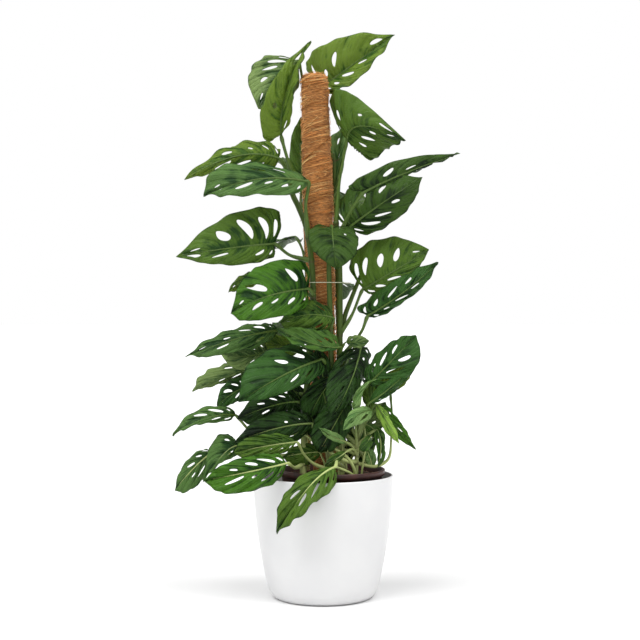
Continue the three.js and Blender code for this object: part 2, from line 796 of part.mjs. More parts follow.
/** A closed thin blade: strips between the side veins, the same on both faces. */
function bladeSolid(leaf) {
  const blade = new Blade(leaf);
  const middle = []; // the points of the leaf's middle surface
  const index = new Map();
  const faces = [];

  function pointNumber(side, a, r) {
    let key = `${side} ${a.toFixed(5)} ${r.toFixed(5)}`;
    if (r === 0) key = `rib ${a.toFixed(5)}`;
    if (a === 0 || a === 1) key = `end ${a}`;
    if (!index.has(key)) {
      index.set(key, middle.length);
      middle.push(blade.at(side, a, r));
    }
    return index.get(key);
  }

  for (const side of [0, 1]) {
    const gaps = leaf.slits[side].length;
    const width = blade.reach[side].length() / blade.length;
    for (let gap = 0; gap < gaps; gap += 1) {
      const [a, b] = [gap / gaps, (gap + 1) / gaps];
      const edge = [];
      if (gap > 0) edge.push([a, 0]);
      if (cutBeside(leaf, side, gap)) edge.push([a, 0.5]);
      edge.push([a, 1]);
      if (gap === 0) edge.push([b / 2, 1]); // the base lobe is the roundest part
      edge.push([b, 1]);
      if (cutBeside(leaf, side, gap + 1)) edge.push([b, 0.5]);
      if (gap < gaps - 1) edge.push([b, 0]);
      const hole = slit(gap, gaps, slitSize(leaf, side, gap));
      const corners = [...edge, ...hole];
      const flat = corners.map(([u, v]) => {
        const [out, along] = flatPoint(u, v, leaf.lobes[side]);
        return new THREE.Vector2(out * width, along);
      });
      const rings = hole.length > 0 ? [flat.slice(edge.length)] : [];
      for (const face of THREE.ShapeUtils.triangulateShape(flat.slice(0, edge.length), rings)) {
        const [p, q, s] = face.map((i) => flat[i]);
        const turnsLeft = q.clone().sub(p).cross(s.clone().sub(p)) > 0;
        const numbers = face.map((i) => pointNumber(side, ...corners[i]));
        faces.push(turnsLeft === (side === 1) ? numbers : numbers.reverse());
      }
    }
  }
  return thickened(middle, faces, BLADE.thickness);
}

/** A surface given thickness: its two faces, and a wall along each open edge. */
function thickened(middle, faces, thickness) {
  const normals = middle.map(() => new THREE.Vector3());
  const open = new Map();
  for (const face of faces) {
    const [p, q, s] = face.map((i) => middle[i]);
    const normal = q.clone().sub(p).cross(s.clone().sub(p));
    face.forEach((number, i) => {
      normals[number].add(normal);
      const next = face[(i + 1) % 3];
      if (!open.delete(`${next} ${number}`)) open.set(`${number} ${next}`, [number, next]);
    });
  }
  const positions = [];
  for (const half of [thickness / 2, -thickness / 2]) {
    middle.forEach((point, i) => {
      const moved = point.clone().addScaledVector(normals[i].clone().normalize(), half);
      positions.push(...moved.toArray());
    });
  }
  const count = middle.length;
  const triangles = faces.flatMap(([p, q, s]) => [p, q, s, s + count, q + count, p + count]);
  for (const [p, q] of open.values()) {
    triangles.push(q, p, p + count, q, p + count, q + count);
  }
  const geometry = new THREE.BufferGeometry();
  geometry.setAttribute("position", new THREE.Float32BufferAttribute(positions, 3));
  geometry.setIndex(triangles);
  return solidOf(geometry);
}

/** The leaf stalk, from the middle of its vine to just inside the blade. */
function petiole(leaf) {
  const start = vineAt(leaf.on, leaf.at);
  const base = vector(leaf.base);
  const ways = leaf.by.map(vector);
  if (ways.length === 0) {
    const way = start.clone().lerp(base, 0.5);
    way.z += 0.12 * start.distanceTo(base);
    ways.push(way);
  }
  const blade = new Blade(leaf);
  const end = blade.midrib(BLADE.sunk / blade.length);
  const { petioleRadius, petioleSides, petioleSteps } = BLADE;
  const steps = petioleSteps + ways.length - 1;
  return bar([start, ...ways, base, end], petioleRadius, petioleSides, steps);
}

/** Blade and stalk in one piece. */
function wholeLeaf(leaf) {
  return bladeSolid(leaf).add(petiole(leaf));
}

// ---------------------------------------------------------------- assembly

add("cover_pot", coverPot(), LOOKS.coverPot());
add("nursery_pot", nurseryPot(), LOOKS.nurseryPot());

let soil = soilBody().subtract(stoodUp(poleRoom(SEAT_GAP)));
for (const name of Object.keys(VINES)) {
  soil = soil.subtract(vineSolid(name, SEAT_GAP));
}
add("soil", mainBody(soil), LOOKS.soil());

add("pole_rod", stoodUp(rod()), LOOKS.rod());
add("coir_sleeve", stoodUp(coirSleeve()), LOOKS.coir());

const tieProfile = Array.from({ length: 5 }, (_, i) => {
  const angle = (Math.PI * i) / 2;
  return [TIE.radius + TIE.thread * Math.cos(angle), TIE.thread * Math.sin(angle)];
});
const tie = turned(tieProfile, TIE.sides).translate([...TIE.centre, TIE.height]);
add("tie_thread", tie, LOOKS.tie());

for (const name of Object.keys(VINES)) {
  let stem = vineSolid(name);
  if (name === "young_shoot") {
    for (const leaf of SHOOT_LEAVES) stem = stem.add(wholeLeaf(leaf));
  }
  add(name, mainBody(stem), LOOKS.stem());
}

for (const leaf of LEAVES) {
  const cut = wholeLeaf(leaf).subtract(vineSolid(leaf.on, SEAT_GAP));
  add(leaf.name, mainBody(cut), LOOKS.leaf());
}

export default plant;
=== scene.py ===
"""A monstera adansonii on a coir pole, in its nursery pot, inside a white cover pot.

Metres, +Z up, +X right, +Y away from the front; the sizes of the plant are in millimetres and
are turned into metres where a mesh is made.
"""

import math
import random

import bpy
import numpy as np
from mathutils.geometry import delaunay_2d_cdt
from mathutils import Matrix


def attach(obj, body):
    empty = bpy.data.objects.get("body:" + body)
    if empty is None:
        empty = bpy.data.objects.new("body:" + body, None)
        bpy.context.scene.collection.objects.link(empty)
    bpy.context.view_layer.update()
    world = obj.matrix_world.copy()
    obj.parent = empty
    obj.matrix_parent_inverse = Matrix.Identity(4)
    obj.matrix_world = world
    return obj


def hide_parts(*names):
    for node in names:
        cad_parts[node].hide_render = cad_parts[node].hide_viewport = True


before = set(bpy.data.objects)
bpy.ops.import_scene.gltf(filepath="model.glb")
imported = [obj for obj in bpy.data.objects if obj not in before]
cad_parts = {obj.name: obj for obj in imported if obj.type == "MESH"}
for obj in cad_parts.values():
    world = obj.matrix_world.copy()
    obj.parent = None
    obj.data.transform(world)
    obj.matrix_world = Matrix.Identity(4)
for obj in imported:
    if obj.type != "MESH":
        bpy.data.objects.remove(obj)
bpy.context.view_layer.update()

# ---------------------------------------------------------------- camera
# It stands two metres in front of the plant, level, a little above half the plant's height,
# with a long lens.

CAMERA_PLACE = (-0.0049, -2.0, 0.434)  # metres
SENSOR_WIDTH = 36.0
LENS = 71.38

camera = bpy.data.objects.new("camera", bpy.data.cameras.new("camera"))
camera.data.sensor_width = SENSOR_WIDTH
camera.data.lens = LENS
camera.location = CAMERA_PLACE
camera.rotation_euler = (math.pi / 2, 0, 0)
bpy.context.collection.objects.link(camera)
bpy.context.scene.camera = camera

# ---------------------------------------------------------------- studio
# A matt white floor that runs out of sight, big soft lights high up at the front left and the
# front right, and a white room that glows more dimly than its walls look.

KEY_STRENGTH = 2.8
FILL_STRENGTH = 2.2
LIGHT_SPREAD = 50  # degrees
ROOM_GLOW = 0.28
WHITE = (1, 1, 1, 1)
FLOOR_WHITE = 0.83  # just enough for the lit floor to look as white as the walls
FLOOR_REACH = 90  # metres
FLOOR_DROP = 0.0005  # metres under the pot's foot, so that the two don't share a plane


def set_sockets(node, values):
    """Give a node's input sockets their values, by name."""
    for socket, value in values.items():
        node.inputs[socket].default_value = value


def add_node(tree, kind, values=None, **settings):
    """A new shader node in a tree, with its settings and the values of its sockets."""
    node = tree.nodes.new("ShaderNode" + kind)
    for setting, value in settings.items():
        setattr(node, setting, value)
    set_sockets(node, values or {})
    return node


def link_nodes(tree, *pairs):
    """Links in a tree, each from an output to an input."""
    for source, target in pairs:
        tree.links.new(source, target)


def node_material(name, values=None):
    """A material, its node tree and its Principled shader with some of its values set."""
    material = bpy.data.materials.new(name)
    material.use_nodes = True
    shader = material.node_tree.nodes["Principled BSDF"]
    set_sockets(shader, values or {})
    return material, material.node_tree, shader


def soft_light(name, towards, strength):
    """A light from very far away, as wide as the spread."""
    light = bpy.data.lights.new(name, "SUN")
    light.angle = math.radians(LIGHT_SPREAD)
    light.energy = strength
    lamp = bpy.data.objects.new(name, light)
    x, y, z = towards
    lamp.rotation_euler = (math.atan2(math.hypot(x, y), z), 0, math.atan2(x, -y))
    bpy.context.collection.objects.link(lamp)


floor_look = {
    "Base Color": (FLOOR_WHITE, FLOOR_WHITE, FLOOR_WHITE, 1),
    "Roughness": 1.0,
    "Specular IOR Level": 0.0,
}
floor_mesh = bpy.data.meshes.new("floor")
floor_corners = [(-1, -1, 0), (1, -1, 0), (1, 1, 0), (-1, 1, 0)]
floor_mesh.from_pydata(
    [(FLOOR_REACH * x, FLOOR_REACH * y, z) for x, y, z in floor_corners], [], [(0, 1, 2, 3)]
)
floor_mesh.materials.append(node_material("floor_paint", floor_look)[0])
floor = bpy.data.objects.new("floor", floor_mesh)
floor.location.z = -FLOOR_DROP
bpy.context.collection.objects.link(floor)

soft_light("key_light", (-0.6, -0.4, 1.15), KEY_STRENGTH)
soft_light("fill_light", (0.62, -0.4, 1.15), FILL_STRENGTH)

room = bpy.data.worlds.new("white_room")
room.use_nodes = True
glow = room.node_tree.nodes["Background"]
set_sockets(glow, {"Color": WHITE, "Strength": ROOM_GLOW})
walls = add_node(room.node_tree, "Background", {"Color": WHITE})
seen = add_node(room.node_tree, "LightPath")
chosen = add_node(room.node_tree, "MixShader")
link_nodes(
    room.node_tree,
    (seen.outputs["Is Camera Ray"], chosen.inputs[0]),
    (glow.outputs[0], chosen.inputs[1]),
    (walls.outputs[0], chosen.inputs[2]),
    (chosen.outputs[0], room.node_tree.nodes["World Output"].inputs["Surface"]),
)
bpy.context.scene.world = room
bpy.context.scene.view_settings.view_transform = "Standard"

# ---------------------------------------------------------------- cover pot
# The outer pot: moulded white plastic with a satin skin, tapered, slightly swollen at the
# sides and rolled at the rim. It stands on its flat underside and nothing fixes it.

COVER_HEIGHT = 191.0
COVER_RIM = 110.0
COVER_FOOT = 75.0
COVER_FOOT_ROUND = 8.0  # how far the rounded foot widens, over the first few millimetres
COVER_SWELL = 0.9
COVER_WALL = 3.0
COVER_LIP = COVER_WALL / 2  # radius of the rolled rim
COVER_FLOOR = 4.0
ROUND_SIDES = 128


def make_piece(name, points, faces, materials, face_material=None, uv_maps=None, flat=None):
    """One object of the plant or its pots, from points in millimetres, riding on the root."""
    mesh = bpy.data.meshes.new(name)
    mesh.from_pydata([tuple(p) for p in np.asarray(points) * 0.001], [], faces)
    for material in materials:
        mesh.materials.append(material)
    smooth = np.ones(len(mesh.polygons), dtype=bool)
    if flat is not None:
        smooth[flat] = False
    mesh.polygons.foreach_set("use_smooth", smooth)
    if face_material is not None:
        mesh.polygons.foreach_set("material_index", face_material)
    for map_name, values in (uv_maps or {}).items():
        layer = mesh.uv_layers.new(name=map_name)
        corner_points = np.empty(len(mesh.loops), dtype=np.int32)
        mesh.loops.foreach_get("vertex_index", corner_points)
        layer.data.foreach_set("uv", np.asarray(values, dtype=np.float32)[corner_points].ravel())
    piece = bpy.data.objects.new(name, mesh)
    bpy.context.collection.objects.link(piece)
    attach(piece, "root")
    return piece


def turned_faces(rings, sides):
    """Faces of rings of points round an axis, with a point on the axis before and after them."""
    faces = []
    top = 1 + (rings - 1) * sides
    for i in range(sides):
        after = (i + 1) % sides
        faces.append((0, 1 + after, 1 + i))
        for low in range(1, top, sides):
            high = low + sides
            faces.append((low + i, low + after, high + after, high + i))
        faces.append((top + i, top + after, top + sides))
    return faces


def turned_mesh(profile, sides, x=0.0):
    """Points and faces of a shape turned from a profile that starts and ends on the axis."""
    points = [(x, 0.0, profile[0][1])]
    for radius, height in profile[1:-1]:
        for i in range(sides):
            angle = 2 * math.pi * i / sides
            points.append((x + radius * math.cos(angle), radius * math.sin(angle), height))
    points.append((x, 0.0, profile[-1][1]))
    return points, turned_faces(len(profile) - 2, sides)


def tone(red, green, blue):
    """A colour, from its 0 to 255 values to the linear ones that shaders take."""
    parts = [part / 255 for part in (red, green, blue)]
    return (*[p / 12.92 if p < 0.04 else ((p + 0.055) / 1.055) ** 2.4 for p in parts], 1)


def object_place(tree, stretch=(1, 1, 1)):
    """Where a point is in the piece's own space, in metres times the stretch."""
    mapping = add_node(tree, "Mapping", {"Scale": stretch})
    tree.links.new(add_node(tree, "TexCoord").outputs["Object"], mapping.inputs["Vector"])
    return mapping.outputs["Vector"]


def noise_at(tree, spot, scale, detail):
    """A noise at a spot."""
    noise = add_node(tree, "TexNoise", {"Scale": scale, "Detail": detail})
    tree.links.new(spot, noise.inputs["Vector"])
    return noise.outputs["Fac"]


def ranged(tree, value, limits, easing="LINEAR"):
    """A value brought from between the first two limits to between the last two."""
    names = ("From Min", "From Max", "To Min", "To Max")
    node = add_node(tree, "MapRange", dict(zip(names, limits)), interpolation_type=easing)
    tree.links.new(value, node.inputs["Value"])
    return node.outputs["Result"]


def raise_surface(tree, shader, height, strength, depth):
    """Relief on a material, from a height that changes over it."""
    relief = add_node(tree, "Bump", {"Strength": strength, "Distance": depth})
    tree.links.new(height, relief.inputs["Height"])
    tree.links.new(relief.outputs["Normal"], shader.inputs["Normal"])


def mottled(
    name, dark, light, scale, stretch=(1, 1, 1), detail=4, limits=(0.3, 0.7),
    rough=(0.5, 0.5), bump=0.0, depth=0.001,
):
    """A material whose colour, shine and relief follow one noise in the piece's own space."""
    material, tree, shader = node_material(name)
    noise = noise_at(tree, object_place(tree, stretch), scale, detail)
    shades = add_node(tree, "ValToRGB")
    for stop, limit, colour in zip(shades.color_ramp.elements, limits, (dark, light)):
        stop.position = limit
        stop.color = tone(*colour)
    link_nodes(
        tree,
        (noise, shades.inputs["Fac"]),
        (shades.outputs["Color"], shader.inputs["Base Color"]),
        (ranged(tree, noise, (0, 1, *rough)), shader.inputs["Roughness"]),
    )
    raise_surface(tree, shader, noise, bump, depth)
    return material


def cover_radius(height):
    """Outside radius of the cover pot: a taper that swells slightly, rounded at the foot."""
    part = height / COVER_HEIGHT
    swell = part + COVER_SWELL * part * (1 - part)
    foot = COVER_FOOT_ROUND * (1 - math.exp(-height / 5))
    return COVER_FOOT + foot + (COVER_RIM - COVER_FOOT - COVER_FOOT_ROUND) * swell


# the profile runs from the middle of the underside up the outside, over the rim and down inside
cover_outside = [0.4, 1.2, 2.5, 4, 6, 9, 13, 18, 26, 36, 48, 62, 78, 95, 112, 130, 148, 164, 176]
cover_inside = [COVER_HEIGHT - 4, 176, 150, 120, 90, 60, 36, 20, 12]
cover_profile = [(0, 0), (COVER_FOOT - 0.6, 0)]
cover_profile += [(cover_radius(z), z) for z in cover_outside + [COVER_HEIGHT - 3]]
lip_middle = cover_radius(COVER_HEIGHT) - COVER_LIP
for turn in range(0, 181, 20):
    lip = math.radians(turn)
    out = lip_middle + COVER_LIP * math.cos(lip)
    cover_profile.append((out, COVER_HEIGHT - COVER_LIP + COVER_LIP * math.sin(lip)))
cover_profile += [(cover_radius(z) - COVER_WALL, z) for z in cover_inside]
cover_profile += [(cover_radius(COVER_FLOOR) - COVER_WALL - 3, COVER_FLOOR + 2)]
cover_profile += [(cover_radius(COVER_FLOOR) - COVER_WALL - 6, COVER_FLOOR), (0, COVER_FLOOR)]

white_plastic = mottled(
    "white_satin_plastic", (218, 218, 219), (224, 224, 224), 14, rough=(0.26, 0.32)
)
cover = make_piece("cover_pot_shell", *turned_mesh(cover_profile, ROUND_SIDES), [white_plastic])
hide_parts("cover_pot")

# ---------------------------------------------------------------- nursery pot
# The grower's pot: dark red-brown plastic, moulded thin, with a folded rim. It stands loose in
# the cover pot, a little to the right. The drain holes in its floor are hidden there and left
# to the solids.

NURSERY_X = 14.0
NURSERY_BOTTOM = 4.35
NURSERY_TOP = 200.0
NURSERY_FOOT = 56.0
NURSERY_MOUTH = 80.5
NURSERY_WALL = 1.2


def nursery_inside(height):
    """Inside radius of the nursery pot at a height."""
    slope = (NURSERY_MOUTH - NURSERY_FOOT) / (NURSERY_TOP - NURSERY_BOTTOM)
    return NURSERY_FOOT - NURSERY_WALL + slope * (height - NURSERY_BOTTOM)


nursery_floor = NURSERY_BOTTOM + 2
nursery_profile = [(0, NURSERY_BOTTOM), (NURSERY_FOOT - 2, NURSERY_BOTTOM)]
nursery_profile += [(NURSERY_FOOT, nursery_floor)]
nursery_profile += [(nursery_inside(z) + NURSERY_WALL, z) for z in (40, 90, 140, 180, 190.4)]
# the folded rim
nursery_profile += [(82.2, 191.0), (82.8, 191.4), (83.2, 194.0), (83.5, 197.6), (83.4, 199.0)]
nursery_profile += [(82.9, 199.8), (82.0, 200.0), (nursery_inside(NURSERY_TOP) + 0.3, 199.8)]
nursery_profile += [(nursery_inside(NURSERY_TOP), 199.2)]
nursery_profile += [(nursery_inside(z), z) for z in (190, 170, 120, 60, nursery_floor)]
nursery_profile += [(0, nursery_floor)]

brown_plastic = mottled(
    "red_brown_plastic", (46, 22, 18), (80, 42, 34), 60, detail=6, rough=(0.28, 0.55), bump=0.1
)
nursery = make_piece(
    "nursery_pot_shell", *turned_mesh(nursery_profile, ROUND_SIDES, NURSERY_X), [brown_plastic]
)
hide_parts("nursery_pot")

# ---------------------------------------------------------------- potting soil
# Loose peat with bits of bark, coir dust and a few white grains of perlite, filled to just
# under the nursery pot's rim. It holds the rod of the pole and the roots.

SEAT_GAP = 0.35  # air between the soil and its pot
SOIL_BOTTOM = NURSERY_BOTTOM + 2.35  # on the pot's floor
SOIL_EDGE = 189  # the soil's height at the pot's side
SOIL_RINGS = 44
SOIL_SIDES = 132
CLODS = ((1.1, 14), (0.7, 5))  # how high, and how wide at least
CHIPS = 950
CHIP_SPREAD = 74
CHIP_SIZES = (0.8, 1.1, 1.5, 2.4, 3.4)
CHIP_FLATNESS = (0.3, 0.5, 0.8)
PERLITE_SIZE = 1.6  # chips under this size may be perlite
PERLITE_SHARE = 0.06

random.seed(11)


def lumps(x, y, reach, count=24):
    """A smooth random surface: a sum of waves no shorter than about the reach."""
    waves = np.random.default_rng(int(reach * 10))
    height = np.zeros_like(x)
    for _ in range(count):
        angle, phase, stretch = waves.uniform(0, 2 * math.pi, 3)
        length = reach * (1 + stretch)
        height += np.sin((x * math.cos(angle) + y * math.sin(angle)) * 2 * math.pi / length + phase)
    return height / math.sqrt(count)


def soil_level(out):
    """Height of the raked soil, heaped a little in the middle of its pot."""
    return np.interp(out, [0, 36, 62, 78], [196.0, 194.2, 190.6, 188.4])


def soil_ring(radius, height):
    """One ring of the soil's points."""
    turns = [2 * math.pi * i / SOIL_SIDES for i in range(SOIL_SIDES)]
    return [(NURSERY_X + radius * math.cos(t), radius * math.sin(t), height) for t in turns]


soil_points = []
for ring in range(SOIL_RINGS + 1):
    soil_points += soil_ring((nursery_inside(SOIL_EDGE) - SEAT_GAP) * ring / SOIL_RINGS, 0.0)
soil_points = np.array(soil_points)
soil_points[:, 2] = soil_level(np.hypot(soil_points[:, 0] - NURSERY_X, soil_points[:, 1]))
for clod_height, clod_width in CLODS:
    soil_points[:, 2] += clod_height * lumps(soil_points[:, 0], soil_points[:, 1], clod_width)
soil_rim = SOIL_RINGS * SOIL_SIDES
soil_foot = len(soil_points)
foot = soil_ring(nursery_inside(SOIL_BOTTOM) - SEAT_GAP, SOIL_BOTTOM)
soil_points = np.vstack([soil_points, foot, [(NURSERY_X, 0, SOIL_BOTTOM)]])
soil_faces = []
for low in range(0, soil_rim, SOIL_SIDES):
    high = low + SOIL_SIDES
    for i in range(SOIL_SIDES):
        after = (i + 1) % SOIL_SIDES
        soil_faces.append((low + i, high + i, high + after, low + after))
for i in range(SOIL_SIDES):
    after = (i + 1) % SOIL_SIDES
    soil_faces.append((soil_rim + i, soil_foot + i, soil_foot + after, soil_rim + after))
    soil_faces.append((soil_foot + i, len(soil_points) - 1, soil_foot + after))

peat = mottled(
    "damp_peat", (22, 16, 13), (78, 60, 48), 420, detail=8, limits=(0.35, 0.72),
    rough=(0.9, 1.0), bump=0.9, depth=0.0015,
)
soil_bed = make_piece("soil_bed", soil_points, soil_faces, [peat])
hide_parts("soil")


def turned(first, second, angle):
    """Two coordinates of a point turned round the third axis."""
    cos, sin = math.cos(angle), math.sin(angle)
    return first * cos - second * sin, first * sin + second * cos


def chip(centre, size, flatness):
    """A rough lump: an octahedron with its corners pulled about at random."""
    corners = []
    for x, y, z in ((1, 0, 0), (0, 1, 0), (-1, 0, 0), (0, -1, 0), (0, 0, 1), (0, 0, -1)):
        pull = size * random.uniform(0.7, 1.3)
        corners.append((x * pull, y * pull * 0.7, z * pull * flatness))
    turn = random.uniform(0, 2 * math.pi)
    tip = random.uniform(-0.5, 0.5)
    placed = []
    for x, y, z in corners:
        x, z = turned(x, z, tip)
        x, y = turned(x, y, turn)
        placed.append((centre[0] + x, centre[1] + y, centre[2] + z))
    return placed


CHIP_FACES = [(0, 1, 4), (1, 2, 4), (2, 3, 4), (3, 0, 4), (1, 0, 5), (2, 1, 5), (3, 2, 5), (0, 3, 5)]
chip_points, chip_faces, chip_looks = [], [], []
for _ in range(CHIPS):
    out = CHIP_SPREAD * math.sqrt(random.random())
    angle = random.uniform(0, 2 * math.pi)
    size = random.choice(CHIP_SIZES)
    height = float(soil_level(out)) + 0.2 * size
    centre = (NURSERY_X + out * math.cos(angle), out * math.sin(angle), height)
    start = len(chip_points)
    chip_points += chip(centre, size, random.choice(CHIP_FLATNESS))
    chip_faces += [tuple(start + corner for corner in face) for face in CHIP_FACES]
    white = size < PERLITE_SIZE and random.random() < PERLITE_SHARE
    chip_looks += [1 if white else 0] * len(CHIP_FACES)

bark = mottled("bark_bits", (28, 20, 16), (104, 74, 54), 160, rough=(0.8, 1.0), bump=0.4)
perlite = mottled("perlite_grains", (160, 152, 142), (222, 220, 214), 900, rough=(0.8, 1.0))
soil_bits = make_piece(
    "soil_bits",
    chip_points,
    chip_faces,
    [bark, perlite],
    face_material=chip_looks,
    flat=np.arange(len(chip_faces)),
)

# ---------------------------------------------------------------- pole
# A round wooden rod pushed deep into the soil, wound all over with coir: coarse orange-brown
# coconut fibre, tight at the top and bottom and a little loose in the upper third.

POLE_FOOT = np.array([10.0, 0.0, 30.0])
POLE_LEAN = math.radians(-1.75)
SLEEVE_BOTTOM = 85.0
SLEEVE_TOP = 790.0
SLEEVE_RADIUS = 22.0
SLEEVE_ROUND = 10  # height over which the top edge is rounded
LOOSE_RADIUS = 24.5
LOOSE_MIDDLE = 590  # the height at which the coir is loosest
LOOSE_REACH = 130
SHOWN_BOTTOM = SLEEVE_BOTTOM + 95  # the soil hides the coir below this
MAT_SIDES = 96
MAT_STEP = 3.0
FIBRES = 1600
CROSSING_SHARE = 0.12  # of the fibres, which lie across the others
TUFTS = 1500
HAIRS = 420
TOP_FIBRES = 160
FIBRE_SIDES = 3

rod_wood = mottled(
    "rough_rod_wood", (88, 66, 48), (140, 112, 84), 1, (300, 300, 12), 6, rough=(0.7, 0.9), bump=0.3
)
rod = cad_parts["pole_rod"]
rod.data.materials.clear()
rod.data.materials.append(rod_wood)


def stood_up(points):
    """Points given along an upright pole from its foot, leant as the pole leans."""
    points = np.asarray(points, dtype=float)
    x = points[:, 0] * math.cos(POLE_LEAN) + points[:, 2] * math.sin(POLE_LEAN)
    z = -points[:, 0] * math.sin(POLE_LEAN) + points[:, 2] * math.cos(POLE_LEAN)
    return np.column_stack([x, points[:, 1], z]) + POLE_FOOT


def coir_radius(height):
    """Radius of the coir at a height up the rod."""
    loose = np.exp(-(((height - LOOSE_MIDDLE) / LOOSE_REACH) ** 2))
    radius = SLEEVE_RADIUS + (LOOSE_RADIUS - SLEEVE_RADIUS) * loose
    over = height - SLEEVE_TOP + SLEEVE_ROUND
    return np.where(over > 0, radius - 0.03 * over**2, radius)


# the wound mat under the fibres, seen in the gaps between windings; its colours run darker than the
# fibres', which is partly painted shade for those gaps
mat_heights = list(np.arange(SLEEVE_BOTTOM, SLEEVE_TOP, MAT_STEP)) + [SLEEVE_TOP]
mat_points = [(0, 0, SLEEVE_BOTTOM)]
for height in mat_heights:
    angles = 2 * math.pi * np.arange(MAT_SIDES) / MAT_SIDES
    wind = np.sin(height / 9.0 + 1.3 * np.sin(angles) + 2 * np.sin(height / 31.0))
    lay = np.sin(height / 4.3 - 1.7 * angles + 2.2 * np.sin(height / 57.0 + angles))
    ripple = 0.5 * wind + 0.5 * np.sin(3 * angles + height / 23.0) + 0.6 * lay
    ring = coir_radius(np.full(MAT_SIDES, height)) - 1.3 + ripple * 0.7
    mat_points += list(zip(ring * np.cos(angles), ring * np.sin(angles), [height] * MAT_SIDES))
mat_points.append((0, 0, SLEEVE_TOP + 1))

coir_mat = mottled(
    "coir_mat", (62, 32, 14), (216, 146, 78), 1.6, (90, 90, 900), 7,
    rough=(0.85, 0.98), bump=1.0, depth=0.0012,
)
mat_faces = turned_faces(len(mat_heights), MAT_SIDES)
mat = make_piece("coir_mat_wound", stood_up(mat_points), mat_faces, [coir_mat])
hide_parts("coir_sleeve")


class Tubes:
    """Tubes gathered into one mesh: fibres that end square, or stems that end in a low dome.

    Each point carries a mark from 0 to 1 for its material, in the map "strand".
    """

    def __init__(self, domed=True):
        """No tubes yet."""
        self.points, self.faces, self.marks, self.looks = [], [], [], []
        self.count = 0
        self.domed = domed

    def add(self, path, radii, marks, sides, look=0):
        """A tube along a path of points; radii and marks change along it."""
        path = np.asarray(path, dtype=float)
        steps = len(path)
        along = np.gradient(path, axis=0)
        along /= np.linalg.norm(along, axis=1)[:, None] + 1e-9
        upright = self.domed and abs(along[0][2]) >= 0.9
        across = np.cross(along[0], (1, 0, 0) if upright else (0.31, 0.17, 0.94))
        turns = 2 * math.pi * np.arange(sides) / sides
        for i in range(steps):
            across = across - along[i] * across.dot(along[i])
            across /= np.linalg.norm(across) + 1e-9
            other = np.cross(along[i], across)
            circle = np.outer(np.cos(turns), across) + np.outer(np.sin(turns), other)
            self.points.append(path[i] + radii[i] * circle)
        dome = along[-1] * radii[-1] * 0.5 if self.domed else 0
        self.points.append(np.array([path[0], path[-1] + dome]))
        marks = np.broadcast_to(marks, steps)
        run = np.linspace(0, 1, steps)
        self.marks.append(np.repeat(np.column_stack([marks, run]), sides, axis=0))
        self.marks.append(np.array([(marks[0], 0), (marks[-1], 1)]))
        first = self.count + steps * sides
        for low in range(self.count, first - sides, sides):
            for k in range(sides):
                after = (k + 1) % sides
                self.faces.append((low + k, low + after, low + sides + after, low + sides + k))
        for k in range(sides):
            after = (k + 1) % sides
            self.faces.append((self.count + after, self.count + k, first))
            self.faces.append((first - sides + k, first - sides + after, first + 1))
        self.looks += [look] * ((steps + 1) * sides)
        self.count = first + 2

    def piece(self, name, materials):
        """All the tubes as one object."""
        return make_piece(
            name,
            np.vstack(self.points),
            self.faces,
            materials,
            face_material=self.looks,
            uv_maps={"strand": np.vstack(self.marks)},
        )


def map_of(tree, name):
    """A map of the mesh: its two parts and the whole of it."""
    spot = add_node(tree, "UVMap", uv_map=name).outputs["UV"]
    split = add_node(tree, "SeparateXYZ")
    tree.links.new(spot, split.inputs["Vector"])
    return split.outputs["X"], split.outputs["Y"], spot


# the fibres wound round it, and the stray hairs that stick out
FIBRE_SHADES = ((104, 56, 22), (238, 164, 92), (255, 222, 152))
fibre_look, tree, shader = node_material(
    "coir_fibre", {"Roughness": 0.7, "Specular IOR Level": 0.15}
)
shades = add_node(tree, "ValToRGB")
shades.color_ramp.elements.new(0.5)
for stop, colour in zip(shades.color_ramp.elements, FIBRE_SHADES):
    stop.color = tone(*colour)
tree.links.new(map_of(tree, "strand")[0], shades.inputs["Fac"])
tree.links.new(shades.outputs["Color"], shader.inputs["Base Color"])
wound_fibres = Tubes(domed=False)


def lay_fibre(angles, radius, heights, thickness, shade):
    """A fibre on the pole, from its angles, distances from the axis and heights."""
    path = np.column_stack([radius * np.cos(angles), radius * np.sin(angles), heights])
    wound_fibres.add(stood_up(path), thickness, shade, FIBRE_SIDES)


for _ in range(FIBRES):
    start = random.uniform(0, 2 * math.pi)
    sweep = random.uniform(0.9, 3.0)
    level = random.uniform(SHOWN_BOTTOM, SLEEVE_TOP - 3)
    crossing = 0.34 if random.random() < CROSSING_SHARE else 0.1
    climb = random.gauss(0.1, crossing) * sweep * SLEEVE_RADIUS
    if math.sin(level / 7.5 + 1.1 * start + 2 * math.sin(level / 60)) < -0.4:
        continue  # a gap between two windings
    turn = np.linspace(0, 1, 7)
    heights = np.clip(level + climb * (turn - 0.5) + 1.5 * np.sin(turn * 5 + start), 90, SLEEVE_TOP)
    radius = coir_radius(heights) - 0.6 + random.uniform(-0.4, 1.2)
    radius = radius + random.uniform(0, 0.7) * np.sin(turn * math.pi)
    angles = start + sweep * turn
    radii = 0.35 + 0.65 * np.sin(np.pi * np.clip(turn, 0.08, 0.92))
    shade = random.betavariate(1.2, 1.2)
    for _ in range(random.choice((1, 1, 1, 2, 3, 6))):  # some lie together as a hank
        up = random.gauss(0, 0.9)
        out = radius + random.uniform(-0.5, 0.35)
        turned_on = angles + random.gauss(0, 0.05)
        look = min(1, max(0, shade + random.gauss(0, 0.12)))
        lay_fibre(turned_on, out, heights + up, random.uniform(0.12, 0.32) * radii, look)
